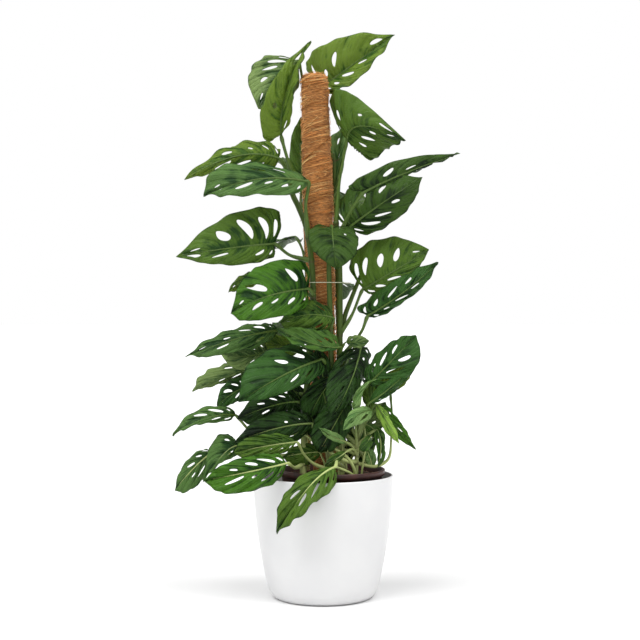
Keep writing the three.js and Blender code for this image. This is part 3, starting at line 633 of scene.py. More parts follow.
for _ in range(TUFTS):  # short ends, more of them lower down, where the coir is rougher
    start = random.uniform(0, 2 * math.pi)
    level = SHOWN_BOTTOM + (SLEEVE_TOP - SHOWN_BOTTOM - 5) * random.betavariate(1.1, 1.7)
    turn = np.linspace(0, 1, 4)
    radius = coir_radius(np.full(4, level)) + random.uniform(-0.4, 0.3) + 0.9 * np.sin(turn * 3)
    angles = start + random.uniform(-0.45, 0.45) * turn
    heights = level + random.uniform(-7, 7) * turn
    radii = random.uniform(0.16, 0.34) * (1.05 - 0.7 * turn)
    lay_fibre(angles, radius, heights, radii, random.betavariate(1.3, 1.3))
turn = np.linspace(0, 1, 6)
for _ in range(HAIRS):  # hairs that stand off
    start = random.uniform(0, 2 * math.pi)
    level = random.uniform(SHOWN_BOTTOM + 15, SLEEVE_TOP)
    reach = random.uniform(1.5, 7.0)
    angles = start + random.uniform(-0.35, 0.35) * turn
    heights = level + random.uniform(-6, 6) * turn
    radius = coir_radius(np.full(6, level)) - 0.5 + reach * turn**1.5
    radii = random.uniform(0.07, 0.14) * (1.1 - 0.8 * turn)
    lay_fibre(angles, radius, heights, radii, random.betavariate(2.5, 1.6))
for _ in range(TOP_FIBRES):  # ends laid over the top
    start = random.uniform(0, 2 * math.pi)
    out = random.uniform(2, 19)
    angles = start + random.uniform(-0.9, 0.9) * turn
    radius = out + random.uniform(-6, 4) * turn
    heights = SLEEVE_TOP + 0.6 + random.uniform(0, 3.0) * np.sin(turn * 2)
    lay_fibre(angles, radius, heights, 0.16 * (1.1 - 0.8 * turn), random.betavariate(2, 2))
fibres = wound_fibres.piece("coir_fibres", [fibre_look])

# ---------------------------------------------------------------- tie thread
# A pale twisted thread tied once round the pole and the stems, to hold them to the coir.

TIE_HEIGHT = 492.0
TIE_CENTRE = (1.0, -1.0)
TIE_RADIUS = 43.2
TIE_TWISTS = 70
STRAND_RADIUS = 0.35
STRAND_OUT = 0.25  # how far each of the two strands lies from the thread's middle

pale_thread = mottled("pale_thread", (180, 188, 152), (228, 230, 206), 1500, rough=(0.5, 0.7))
thread = Tubes(domed=False)
around = np.linspace(0, 2 * math.pi, 241)
for strand in (0, math.pi):
    twist = TIE_TWISTS * around + strand
    radius = TIE_RADIUS + STRAND_OUT * np.cos(twist)
    path = [
        TIE_CENTRE[0] + radius * np.cos(around),
        TIE_CENTRE[1] + radius * np.sin(around),
        TIE_HEIGHT + STRAND_OUT * np.sin(twist),
    ]
    thread.add(np.column_stack(path), np.full(len(around), STRAND_RADIUS), 0.5, 6)
tie = thread.piece("tie_thread_twisted", [pale_thread])
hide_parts("tie_thread")

# ---------------------------------------------------------------- climbing stems
# Five green stems a little thicker than a pencil climb the coir, and a young shoot stands among
# bare stalks at the right, all rooted in the soil. The stems have a ringed node every few
# centimetres, where a leaf stalk starts and brown aerial roots grow out.

# the radius of each stem and the points it passes, from the soil up
VINES = {
    "left_vine": (5.0, [(-30, -46, 150), (-31, -44, 203), (-27, -36, 310), (-17, -32, 418),
                        (-17, -31, 512), (-27, -27, 580), (-38, -22, 609), (-49, -14, 637),
                        (-42, -14, 662)]),
    "middle_vine": (4.5, [(10, -46, 150), (11, -44, 203), (12, -34, 295), (12, -32, 395),
                          (9, -31, 519), (11, -31, 571)]),
    "right_vine": (5.0, [(28, -36, 150), (28, -36, 202), (25, -28, 294), (26, -24, 403),
                         (25, -21, 531), (20, -22, 587)]),
    "back_left_vine": (4.5, [(-26, 38, 150), (-26, 38, 175), (-22, 28, 300), (-24, 26, 450),
                             (-28, 24, 600), (-34, 24, 715)]),
    "back_right_vine": (4.5, [(38, 36, 150), (36, 34, 175), (28, 28, 300), (24, 28, 450),
                              (20, 28, 600), (16, 28, 700)]),
    "young_shoot": (3.6, [(50, -30, 150), (51, -32, 195), (52, -32, 225), (54, -34, 260)]),
}
# the heights of the nodes of each stem
VINE_NODES = {
    "left_vine": (212, 226, 236, 262, 300, 318, 352, 380, 391, 400, 470, 480, 526, 560, 640, 652),
    "middle_vine": (202, 345, 420, 548),
    "right_vine": (206, 232, 300, 312, 342, 352, 372, 380, 412, 548, 560, 585),
    "back_left_vine": (262, 390, 520, 600, 610, 690),
    "back_right_vine": (322, 455, 585, 590, 690),
    "young_shoot": (212, 214, 225, 240, 250),
}
# bare stalks that come up beside a stem, from the top down, and how thick they are
BARE_STALKS = {
    "young_shoot": [
        (2.4, [(-16, -60, 252), (10, -58, 240), (35, -54, 225), (47, -48, 206), (51, -40, 180)]),
        (2.6, [(4, -64, 214), (30, -60, 205), (46, -48, 194), (52, -40, 178)]),
        (1.9, [(-1, -42, 330), (6, -50, 293), (3, -48, 262), (6, -46, 222), (12, -38, 180)]),
        (1.8, [(30, -46, 312), (24, -50, 280), (30, -46, 245), (24, -42, 214), (26, -40, 180)]),
        (1.6, [(-34, -52, 262), (-14, -56, 246), (-2, -50, 224), (4, -44, 205), (4, -38, 180)]),
        (1.5, [(64, -44, 268), (66, -40, 240), (62, -36, 214), (58, -32, 180)]),
    ],
    "right_vine": [(3.7, [(60, -6, 506), (44, -12, 467), (34, -14, 440), (30, -13, 418)])],
}
PALE_BASE = (180, 192, 122)
PALE_HEIGHTS = (0.212, 0.285)  # metres: near the soil, and where the green is full
STREAK_STRETCH = (500, 500, 40)
STEM_SIDES = 14
ROOT_SIDES = 6
BARE_STALK_SIDES = 10


def smooth_path(points, spacing):
    """A centripetal Catmull-Rom curve through the points, as points at an even spacing."""
    points = [np.asarray(p, dtype=float) for p in points]
    points = [2 * points[0] - points[1]] + points + [2 * points[-1] - points[-2]]
    fine = []
    for i in range(1, len(points) - 2):
        p0, p1, p2, p3 = points[i - 1 : i + 3]
        t01, t12, t23 = (
            max(np.linalg.norm(b - a) ** 0.5, 1e-4) for a, b in ((p0, p1), (p1, p2), (p2, p3))
        )
        m1 = (p2 - p1) + t12 * ((p1 - p0) / t01 - (p2 - p0) / (t01 + t12))
        m2 = (p2 - p1) + t12 * ((p3 - p2) / t23 - (p3 - p1) / (t12 + t23))
        for t in np.linspace(0, 1, 24, endpoint=False):
            fine.append(
                (2 * t**3 - 3 * t**2 + 1) * p1 + (t**3 - 2 * t**2 + t) * m1
                + (-2 * t**3 + 3 * t**2) * p2 + (t**3 - t**2) * m2
            )
    fine.append(points[-2])
    fine = np.array(fine)
    run = np.concatenate([[0], np.cumsum(np.linalg.norm(np.diff(fine, axis=0), axis=1))])
    count = max(3, int(round(run[-1] / spacing)) + 1)
    even = np.linspace(0, run[-1], count)
    return np.column_stack([np.interp(even, run, fine[:, k]) for k in range(3)]), even


vine_paths = {name: smooth_path(points, 2.0) for name, (radius, points) in VINES.items()}


def vine_at(name, height):
    """The middle of a vine at a height."""
    path, _ = vine_paths[name]
    return np.array([np.interp(height, path[:, 2], path[:, k]) for k in range(3)])


def mixed(tree, factor, first, second):
    """A mix of two colours; each of the three is a value or a socket. Gives its output."""
    node = add_node(tree, "Mix", data_type="RGBA")
    for number, given in ((0, factor), (6, first), (7, second)):
        if isinstance(given, tuple):
            node.inputs[number].default_value = given
        else:
            tree.links.new(given, node.inputs[number])
    return node.outputs[2]


def stalk_material(name, pale, deep, mark):
    """Living green bark: streaked, marked and waxy, and paler near the soil, in the shade."""
    material, tree, shader = node_material(name, {"Roughness": 0.42, "Specular IOR Level": 0.3})
    streak = noise_at(tree, object_place(tree, STREAK_STRETCH), 1, 4)
    place = add_node(tree, "SeparateXYZ")
    tree.links.new(object_place(tree), place.inputs["Vector"])
    shaded = ranged(tree, place.outputs["Z"], (*PALE_HEIGHTS, 0.9, 0.0))
    green = mixed(tree, streak, tone(*pale), tone(*deep))
    green = mixed(tree, shaded, green, tone(*PALE_BASE))
    green = mixed(tree, map_of(tree, "strand")[0], green, tone(*mark))
    tree.links.new(green, shader.inputs["Base Color"])
    raise_surface(tree, shader, streak, 0.25, 0.0004)
    return material


def stem_tube(tubes, name, node_heights):
    """A vine with a ringed swelling at each node."""
    path, run = vine_paths[name]
    radii = np.full(len(path), VINES[name][0]) * np.interp(run, [0, run[-1]], [1.04, 0.86])
    marks = np.full(len(path), 0.0)
    for height in node_heights:
        away = path[:, 2] - height
        radii *= 1 + 0.16 * np.exp(-((away / 3.2) ** 2)) - 0.05 * np.exp(-(((away - 7) / 3) ** 2))
        marks = np.maximum(marks, 0.75 * np.exp(-(((away + 2) / 1.6) ** 2)))
    tubes.add(path, radii, marks, STEM_SIDES)


def aerial_root(tubes, start, way, length):
    """A thin root that leaves a node, wanders and tapers to a point."""
    turn = np.linspace(0, 1, max(5, int(length / 3)))
    way = np.asarray(way, dtype=float)
    way /= np.linalg.norm(way)
    wander = np.cross(way, (random.uniform(-1, 1), random.uniform(-1, 1), random.uniform(-1, 1)))
    path = np.asarray(start) + np.outer(turn * length, way)
    path += np.outer(np.sin(turn * random.uniform(2, 5)) * length * 0.16, wander)
    path[:, 2] -= 0.10 * length * turn**2
    tubes.add(path, random.uniform(0.55, 0.95) * (1 - 0.75 * turn), 0.0, ROOT_SIDES, look=1)


vine_bark = stalk_material("green_stem_bark", (82, 104, 36), (30, 50, 14), (68, 56, 28))
root_skin = mottled("aerial_root_skin", (82, 60, 42), (146, 118, 86), 700, rough=(0.7, 0.85))
for name, heights in VINE_NODES.items():
    tubes = Tubes()
    stem_tube(tubes, name, heights)
    for height in heights if name != "young_shoot" else ():
        for _ in range(random.choice((1, 2, 2, 3))):
            middle = vine_at(name, height - 3)
            inward = np.array([POLE_FOOT[0] - middle[0], -middle[1], 0.0])
            way = inward / np.linalg.norm(inward) + [
                random.uniform(-1.1, 1.1), random.uniform(-0.7, 0.7), random.uniform(-0.8, 0.3)
            ]
            aerial_root(tubes, middle, way, random.uniform(9, 26))
    for thick, points in BARE_STALKS.get(name, ()):
        path, run = smooth_path(points, 2.5)
        tubes.add(path, thick * (0.8 + 0.35 * run / run[-1]), 0.0, BARE_STALK_SIDES)
    stem = tubes.piece(name + "_stem", [vine_bark, root_skin])
    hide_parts(name)

# ---------------------------------------------------------------- leaves
# Soft green blades with a pale midrib, side veins that sink into the upper face, and long holes
# between them. Each hangs on a stalk that clasps its stem below and thickens to a knuckle under
# the blade. The small ones at the right are still unfolding.

# how the halves of a blade are laid out: a runs along the margin from the base, 0, to the
# tip, 1, and r runs along a side vein from the midrib, 0, to the margin, 1
WIDEST = 0.437
BASE_POWER = 0.62
TIP_POWER = 0.8
VEIN_POWER = 1.9  # how closely the side veins leave the midrib near the base
DRIP_TIP = 0.04  # how far the drawn-out tip runs on, as a part of the leaf's length
ARCH = 0.12  # how far the margins hang below the midrib, as a part of the half's width


def margin_out(a):
    """How far out the margin is, as a part of the half's width."""
    return (a / WIDEST) ** BASE_POWER * ((1 - a) / (1 - WIDEST)) ** TIP_POWER


def margin_along(a, lobe):
    """How far along the leaf the margin is; a base lobe reaches back behind 0."""
    return a**1.15 - 4 * lobe * a * (1 - a) ** 3


def flat_place(a, r, lobe):
    """A point of the flat half: how far out and how far along."""
    out = margin_out(a) * (1 - 0.25 * np.clip((a - 0.82) / 0.18, 0, 1) ** 1.5)
    drip = DRIP_TIP * np.clip((a - 0.88) / 0.12, 0, 1) ** 2
    start = a**VEIN_POWER + drip
    bow = 0.05 * out * np.sin(np.pi * r) * np.minimum(1, 3 * a)
    end = margin_along(a, lobe) + start - a**VEIN_POWER
    return out * r, start + (end - start) * r - bow


class Blade:
    """The curved surface of one leaf, from its five set-out points."""

    def __init__(self, base, mid, tip, left, right, lobes, wave, turn):
        """The points are in millimetres; the rest is as in the table of leaves."""
        self.base, self.tip = np.array(base, dtype=float), np.array(tip, dtype=float)
        self.pull = 2 * np.array(mid, dtype=float) - (self.base + self.tip) / 2
        self.lobes, self.wave, self.turn = lobes, wave, turn
        self.reach = [
            np.array(widest, dtype=float) - self.midrib(margin_along(WIDEST, lobe))[0]
            for widest, lobe in zip((left, right), lobes)
        ]
        up = np.cross(self.reach[1] - self.reach[0], self.tip - self.base)
        self.up = up / np.linalg.norm(up)
        self.length = np.linalg.norm(self.tip - self.base)

    def midrib(self, along):
        """Points of the midrib, and of its straight run back behind the base."""
        t = np.maximum(np.atleast_1d(along), 0)[:, None]
        back = np.minimum(np.atleast_1d(along), 0)[:, None]
        curve = (1 - t) ** 2 * self.base + 2 * t * (1 - t) * self.pull + t**2 * self.tip
        return curve + 2 * back * (self.pull - self.base)

    def at(self, side, a, r):
        """Points of the smooth surface and their places in the flat blade, in millimetres."""
        out, along = flat_place(a, r, self.lobes[side])
        reach = self.reach[side]
        width = np.linalg.norm(reach)
        ripple = self.wave * np.sin(5 * np.pi * a + self.turn + 1.3 * side) * r**2
        lift = ripple * np.minimum(out, 1) - ARCH * width * out**2
        points = self.midrib(along) + np.outer(out, reach) + np.outer(lift, self.up)
        return points, np.column_stack([(2 * side - 1) * out * width, along * self.length])


def inside_loop(points, loop):
    """Which of the flat points lie inside a closed loop."""
    x, y = points[:, 0][:, None], points[:, 1][:, None]
    x1, y1 = loop[:, 0][None], loop[:, 1][None]
    x2, y2 = np.roll(loop[:, 0], -1)[None], np.roll(loop[:, 1], -1)[None]
    crosses = (y1 > y) != (y2 > y)
    height = np.where(y2 == y1, 1e-9, y2 - y1)
    left_of = x < (x2 - x1) * (y - y1) / height + x1
    return (crosses & left_of).sum(axis=1) % 2 == 1


LEAF_GRID = 3.0  # spacing of the points of a blade
ROWS_IN_GAP = 5  # between two side veins
MARGIN_POINTS = 44
HOLE_POINTS = 20
SMALLEST_HOLE = 0.3  # length of the shortest long hole, as a part of the half's width
HOLE_WIDTH = (0.17, 0.27)  # half of it, as a part of the gap between two side veins
PINHOLE_CHANCE = 0.35  # of a small hole between two side veins that have no long one
VEIN_LEAN = 0.85  # how far the side veins lean towards the tip


class BladePlan:
    """One blade laid out flat: its midrib, margins and holes, and a grid of points between them."""

    def __init__(self, blade, slits, seed):
        """Lay out a blade, with slits a digit for each gap from base to tip on either side."""
        self.blade, self.gaps = blade, len(slits[0])
        self.draw = np.random.default_rng(seed)
        self.sides, self.places, self.edges, self.holes = [], [], [], []
        count = max(6, int(blade.length / LEAF_GRID))
        self.rib = self.put(0, np.linspace(0, 1, count) ** (1 / VEIN_POWER), np.zeros(count))
        self.edges += zip(self.rib[:-1], self.rib[1:])
        margins = [self.margin(side) for side in (0, 1)]
        self.outline = margins[0] + margins[1][-2:0:-1]
        for side in (0, 1):
            self.cut_holes(side, slits[side])
        _, taken, _ = self.laid_out()
        for side in (0, 1):
            self.fill(side, taken)

    def put(self, side, a, r):
        """Add points to one half and return their numbers."""
        first = sum(len(run) for run in self.sides)
        self.sides.append(np.full(len(a), side))
        self.places.append(np.column_stack([a, r]))
        return list(range(first, first + len(a)))

    def laid_out(self):
        """All points so far: in space, flat, and as their a and r."""
        side_of, place = np.concatenate(self.sides), np.vstack(self.places)
        points, flat = np.empty((len(place), 3)), np.empty((len(place), 2))
        for side in (0, 1):
            own = side_of == side
            points[own], flat[own] = self.blade.at(side, place[own, 0], place[own, 1])
        return points, flat, place

    def margin(self, side):
        """The uneven margin of one half, from the base to the tip."""
        near_base = np.linspace(0.003, 0.09, 7)[:-1]
        along = np.concatenate([near_base, np.linspace(0.09, 0.985, MARGIN_POINTS)])
        first, second = self.draw.uniform(0, 2 * np.pi, 2)
        wander = 0.012 * np.sin(27 * along + first) + 0.008 * np.sin(51 * along + second)
        margin = [self.rib[0]] + self.put(side, along, 1 + wander) + [self.rib[-1]]
        self.edges += zip(margin[:-1], margin[1:])
        return margin

    def cut_holes(self, side, sizes):
        """The holes of one half, of the sizes given in tenths; a gap without one may be pricked."""
        draw = self.draw
        for gap in range(1, self.gaps):
            size = int(sizes[gap]) / 10
            if size >= SMALLEST_HOLE:
                self.cut(side, gap, size * draw.uniform(0.36, 0.44), draw.uniform(0.42, 0.5))
            elif draw.random() < PINHOLE_CHANCE:
                self.cut(side, gap, draw.uniform(0.05, 0.1), draw.uniform(0.25, 0.4))

    def cut(self, side, gap, half_length, middle):
        """A long hole between two side veins, blunt at one end and drawn out at the other."""
        draw = self.draw
        turns = np.linspace(0, 2 * np.pi, HOLE_POINTS, endpoint=False)
        width = draw.uniform(*HOLE_WIDTH) * min(1, 0.45 + 2 * half_length)
        drawn_out = 1 - draw.uniform(0.1, 0.45) * np.cos(turns) * draw.choice((-1, 1))
        lean = VEIN_LEAN * half_length if gap < self.gaps - 1 else 0.0
        slant = (lean + draw.uniform(-0.1, 0.1)) * np.cos(turns)
        across = width * np.sin(turns) * drawn_out * np.abs(np.sin(turns)) ** 0.15 + slant
        a = (gap + 0.5 + draw.uniform(-0.05, 0.05) + across) / self.gaps
        loop = self.put(side, a, middle + half_length * np.cos(turns))
        self.edges += zip(loop, loop[1:] + loop[:1])
        self.holes.append((side, loop))

    def fill(self, side, taken):
        """Rows of points over one half, clear of the holes and of the points already taken."""
        width = np.linalg.norm(self.blade.reach[side])
        rows = self.gaps * ROWS_IN_GAP
        grid = []
        for row in range(1, rows):
            columns = max(2, int(round(width * margin_out(row / rows) / LEAF_GRID)))
            r = (np.arange(1, columns) + (0.25 if row % 2 else -0.25)) / columns
            grid.append(np.column_stack([np.full(len(r), row / rows), r]))
        grid = np.vstack(grid)
        _, spots = self.blade.at(side, grid[:, 0], grid[:, 1])
        keep = np.ones(len(grid), dtype=bool)
        for near in taken:
            keep &= np.hypot(*(spots - near).T) > 0.35 * LEAF_GRID
        for hole_side, loop in self.holes:
            if hole_side == side:
                keep &= ~inside_loop(spots, taken[loop])
        self.put(side, grid[keep, 0], grid[keep, 1])

    def surface(self):
        """The blade's middle surface: points, flat places, vein places and triangles."""
        points, flat, place = self.laid_out()
        flat[self.rib, 0] = 0.0
        found = delaunay_2d_cdt([tuple(spot) for spot in flat], self.edges, [], 0, 1e-6)
        first_of = np.array([origin[0] if origin else -1 for origin in found[3]])
        triangles = first_of[np.array(found[2])]
        triangles = triangles[(triangles >= 0).all(axis=1)]
        middles = flat[triangles].mean(axis=1)
        solid = inside_loop(middles, flat[self.outline])
        for _, loop in self.holes:
            solid &= ~inside_loop(middles, flat[loop])
        number = place[:, 0] * self.gaps - VEIN_LEAN * (place[:, 1] - 0.45)
        return points, flat, np.column_stack([number, place[:, 1]]), triangles[solid]


def point_normals(points, triangles):
    """Normals at the points of a surface, weighted by the area of their triangles."""
    corner = points[triangles]
    across = np.cross(corner[:, 1] - corner[:, 0], corner[:, 2] - corner[:, 0])
    normals = np.zeros_like(points)
    for k in range(3):
        np.add.at(normals, triangles[:, k], across)
    return normals / (np.linalg.norm(normals, axis=1)[:, None] + 1e-12)


def open_edges(triangles):
    """The edges of a surface that only one triangle has."""
    pairs = np.vstack([triangles[:, [0, 1]], triangles[:, [1, 2]], triangles[:, [2, 0]]])
    known = {(p, q) for p, q in pairs.tolist()}
    return np.array([(p, q) for p, q in known if (q, p) not in known])


BLADE_HALF = 0.25  # half the blade's thickness
QUILT_HEIGHT = 2.2  # how far the tissue between two side veins stands up
FULL_LENGTH = 110  # of a leaf old enough to be fully quilted
LARGEST_WAVE = 3.0
RIB_SINK = 0.55  # how far the middle of the midrib lies under the blade's middle surface
RIB_POINTS = 24
RIB_SIDES = 6
STALK_SIDES = 8
STALK_LOOK = 2
OFF_BLADE = (9, 9)  # a place off the blade's map, for the midrib and the stalk


def blade_skin(blade, slits, seed):
    """The two faces and the cut edges of a blade: points, flat and vein places, faces, looks."""
    points, flat, veins, triangles = BladePlan(blade, slits, seed).surface()
    # the tissue stands up between the side veins and the margin waves
    number, r = veins.T
    between = np.abs(np.sin(np.pi * number)) ** 0.8
    finer = np.abs(np.sin(2 * np.pi * number + 0.5))
    quilt = QUILT_HEIGHT * min(1.0, blade.length / FULL_LENGTH)
    lift = quilt * (between + 0.25 * finer) * np.minimum(1, 3.5 * r) * (1 - r**6)
    lift -= 1.0 * np.exp(-((flat[:, 0] / 2.0) ** 2))
    lift += 0.5 * lumps(flat[:, 0] + 37 * seed, flat[:, 1], 14)
    waving = np.sin(2 * np.pi * number * 0.8 + 1.7 * seed) * np.sign(flat[:, 0] + 1e-6)
    lift += min(LARGEST_WAVE, 0.022 * blade.length) * waving * np.clip(r, 0, 1) ** 3
    points = points + lift[:, None] * point_normals(points, triangles)
    # upper face, lower face and the walls between them
    half = BLADE_HALF * point_normals(points, triangles)
    count = len(points)
    walls = open_edges(triangles)
    walls = np.column_stack([walls[:, 1], walls[:, 0], walls[:, 0] + count, walls[:, 1] + count])
    faces = triangles.tolist() + (triangles[:, ::-1] + count).tolist() + walls.tolist()
    looks = [0] * len(triangles) + [1] * (len(triangles) + len(walls))
    return np.vstack([points + half, points - half]), flat, veins, faces, looks


def add_midrib(tubes, blade):
    """The midrib, which stands out under the blade and thins towards the tip."""
    spine = np.linspace(0, 0.93, RIB_POINTS)
    radii = (0.5 + 0.010 * blade.length) * (1 - spine) + 0.25
    tubes.add(blade.midrib(spine) - RIB_SINK * blade.up, radii, 0.0, RIB_SIDES, STALK_LOOK)


def add_stalk(tubes, blade, stem, height, ways):
    """The stalk, from a clasp at the stem to a knuckle under the blade."""
    start, base = vine_at(stem, height), blade.base
    if not ways:
        arch = 0.12 * np.linalg.norm(base - start)
        ways = [(start + base) / 2 + (0, 0, arch)]
    end = blade.midrib(0.05)[0] - 0.4 * blade.up
    path, run = smooth_path([start, *ways, base - 0.3 * blade.up, end], 2.5)
    thick = 1.25 + 0.0085 * blade.length
    radii = np.full(len(path), thick)
    radii += 0.9 * thick * np.clip(1 - run / (0.45 * run[-1]), 0, 1) ** 0.8
    radii += 0.35 * thick * np.exp(-(((run[-1] - 12 - run) / 5) ** 2))
    radii *= np.interp(run, [run[-1] - 8, run[-1]], [1, 0.55])
    marks = 0.55 * np.exp(-((run / 5) ** 2))
    tubes.add(path, radii, marks, STALK_SIDES, STALK_LOOK)


def leaf_mesh(stem, height, ways, shape, slits, seed):
    """A whole leaf: points, faces, their looks, the maps and which faces are cut edges."""
    blade = Blade(*shape)
    skin, flat, veins, faces, looks = blade_skin(blade, slits, seed)
    cut_edges = [number for number, face in enumerate(faces) if len(face) == 4]
    tubes = Tubes()
    add_midrib(tubes, blade)
    add_stalk(tubes, blade, stem, height, ways)
    faces += [tuple(len(skin) + corner for corner in face) for face in tubes.faces]
    still = np.zeros((tubes.count, 2))
    maps = {
        "veins": np.vstack([veins, veins, still + 0.5]),
        "blade": np.vstack([flat, flat, still + OFF_BLADE]),
        "strand": np.vstack([np.zeros((len(skin), 2)), *tubes.marks]),
    }
    return np.vstack([skin, *tubes.points]), faces, looks + tubes.looks, maps, cut_edges


def leaf_pattern_group():
    """Masks and colour of a blade's face, shared by all the leaves."""
    group = bpy.data.node_groups.new("leaf_pattern", "ShaderNodeTree")
    for name in ("Light", "Dark", "Rib"):
        group.interface.new_socket(name, in_out="INPUT", socket_type="NodeSocketColor")
    group.interface.new_socket("Color", in_out="OUTPUT", socket_type="NodeSocketColor")
    group.interface.new_socket("Roughness", in_out="OUTPUT", socket_type="NodeSocketFloat")
    group.interface.new_socket("Height", in_out="OUTPUT", socket_type="NodeSocketFloat")
    given, result = group.nodes.new("NodeGroupInput"), group.nodes.new("NodeGroupOutput")

    def worked(kind, first, second=None):
        """A sum, product or the like of values and sockets."""
        node = add_node(group, "Math", operation=kind)
        for socket, value in zip(node.inputs, (first, second)):
            if isinstance(value, (int, float)):
                socket.default_value = value
            elif value is not None:
                group.links.new(value, socket)
        return node.outputs[0]

    def summed(total, *parts):
        """A value and the parts added to it, each a socket and its share."""
        for value, share in parts:
            total = worked("ADD", total, worked("MULTIPLY", value, share))
        return total

    def eased(value, *limits):
        """A value brought smoothly from one range into another."""
        return ranged(group, value, limits, "SMOOTHSTEP")

    vein_number, out, _ = map_of(group, "veins")
    across, _, flat_spot = map_of(group, "blade")
    place = object_place(group)
    # side veins, 0 on one and 1 midway between two, with finer ones between them
    between = worked("ABSOLUTE", worked("SINE", worked("MULTIPLY", vein_number, math.pi)))
    finer = worked("ADD", worked("MULTIPLY", vein_number, 3 * math.pi), 0.4)
    finer = worked("ABSOLUTE", worked("SINE", finer))
    vein = eased(between, 0.0, 0.07, 1.0, 0.0)
    from_rib = worked("ABSOLUTE", across)
    rib = eased(from_rib, 0.3, 1.0, 1.0, 0.0)
    beside_rib = eased(from_rib, 0.6, 13.0, 1.0, 0.0)
    margin = eased(out, 0.5, 0.95, 0.0, 1.0)
    rim = eased(out, 0.965, 0.99, 0.0, 1.0)
    # the tissue is darker and lighter in patches, and the furrows are not all as deep; along the
    # furrows by the side veins the green is darkened as painted shade
    patch = noise_at(group, place, 14, 1)
    uneven = noise_at(group, place, 42, 3)
    furrow_and_painted_shade = eased(between, 0.0, 0.85, 1.0, 0.0)
    furrow_and_painted_shade = worked("MULTIPLY", furrow_and_painted_shade, eased(uneven, 0.35, 0.65, 0.1, 1.2))
    # fine streaks that run out along the side veins, in the relief and in the colour, where their
    # lighter lines are a painted sheen
    streak_spot = add_node(group, "CombineXYZ")
    for axis, value, stretch in (("X", vein_number, 7.0), ("Y", out, 1.6), ("Z", patch, 2.5)):
        group.links.new(worked("MULTIPLY", value, stretch), streak_spot.inputs[axis])
    streak = noise_at(group, streak_spot.outputs["Vector"], 1, 4)
    # a net of the finest veins
    net = add_node(group, "TexVoronoi", {"Scale": 0.4}, feature="DISTANCE_TO_EDGE")
    group.links.new(flat_spot, net.inputs["Vector"])
    net_line = eased(net.outputs["Distance"], 0.0, 0.2, 1.0, 0.0)

    # painted light and shade: the half on the left margin's side is a little lighter and the other half
    # a little darker, as on a blade folded along its midrib
    shade = worked("ADD", worked("MULTIPLY", furrow_and_painted_shade, 0.36), eased(across, -3.0, 3.0, -0.08, 0.10))
    shade = worked("ADD", shade, eased(uneven, 0.3, 0.7, -0.24, 0.2))
    shade = summed(shade, (net_line, 0.05), (beside_rib, 0.24), (margin, -0.22), (finer, -0.08))
    shade = worked("ADD", shade, eased(patch, 0.3, 0.7, 0.0, 0.36))
    shade = worked("ADD", shade, eased(streak, 0.3, 0.7, -0.25, 0.3))
    shade = eased(summed(shade, (rim, 0.5)), 0.0, 0.85, 0.0, 1.0)
    green = mixed(group, shade, given.outputs["Light"], given.outputs["Dark"])
    pale = worked("MAXIMUM", worked("MULTIPLY", rib, 0.36), worked("MULTIPLY", vein, 0.1))
    height = summed(
        worked("MULTIPLY", furrow_and_painted_shade, -1.0),
        (net_line, -0.2), (streak, 0.8), (uneven, 1.2), (rib, 0.4), (finer, 0.35),
    )
    link_nodes(
        group,
        (mixed(group, pale, green, given.outputs["Rib"]), result.inputs["Color"]),
        (eased(patch, 0.3, 0.7, 0.32, 0.46), result.inputs["Roughness"]),
        (height, result.inputs["Height"]),
    )
    return group


leaf_pattern = leaf_pattern_group()


def leaf_face(name, light, dark, rib, depth):
    """One face of a blade in its two greens and the colour of its midrib."""
    material, tree, shader = node_material(name, {"Specular IOR Level": 0.16})
    pattern = add_node(tree, "Group", node_tree=leaf_pattern)
    set_sockets(pattern, {"Light": tone(*light), "Dark": tone(*dark), "Rib": tone(*rib)})
    tree.links.new(pattern.outputs["Color"], shader.inputs["Base Color"])
    tree.links.new(pattern.outputs["Roughness"], shader.inputs["Roughness"])
    raise_surface(tree, shader, pattern.outputs["Height"], 0.8, depth)
    return material


TOP_RELIEF = 0.0028
UNDER_RELIEF = 0.0011
# each leaf's set was chosen to match how light or dark that leaf looks, so besides the leaves' own
# tones the darker sets carry painted shade for leaves deep in the bush, and the lightest young set
# carries painted light
LEAF_GREENS = {  # the light and the dark green of an upper face, and its midrib
    "bright": ((100, 126, 40), (48, 82, 20), (106, 132, 58)),
    "grey": ((118, 142, 80), (52, 82, 38), (126, 148, 92)),
    "mid": ((78, 108, 34), (28, 60, 16), (86, 114, 46)),
    "dark": ((54, 82, 24), (16, 38, 9), (66, 92, 34)),
    "deep": ((36, 66, 18), (8, 26, 6), (48, 74, 26)),
    "pine": ((52, 90, 34), (16, 44, 12), (70, 102, 44)),
    "bluish": ((82, 116, 56), (28, 60, 24), (96, 124, 66)),
    "vivid": ((64, 108, 24), (14, 48, 9), (78, 112, 40)),
    "young": ((126, 160, 92), (74, 116, 54), (152, 178, 114)),
    # a lighter copy of the young greens: painted light for young leaves that sit in shade
    "fresh": ((142, 180, 74), (78, 126, 38), (162, 190, 104)),
}
leaf_tops = {
    name: leaf_face("leaf_top_" + name, *greens, TOP_RELIEF) for name, greens in LEAF_GREENS.items()
}
leaf_under = leaf_face("leaf_underside", (70, 104, 38), (28, 58, 18), (98, 126, 60), UNDER_RELIEF)
stalk_green = stalk_material("leaf_stalk_green", (98, 124, 50), (40, 66, 22), (84, 72, 38))

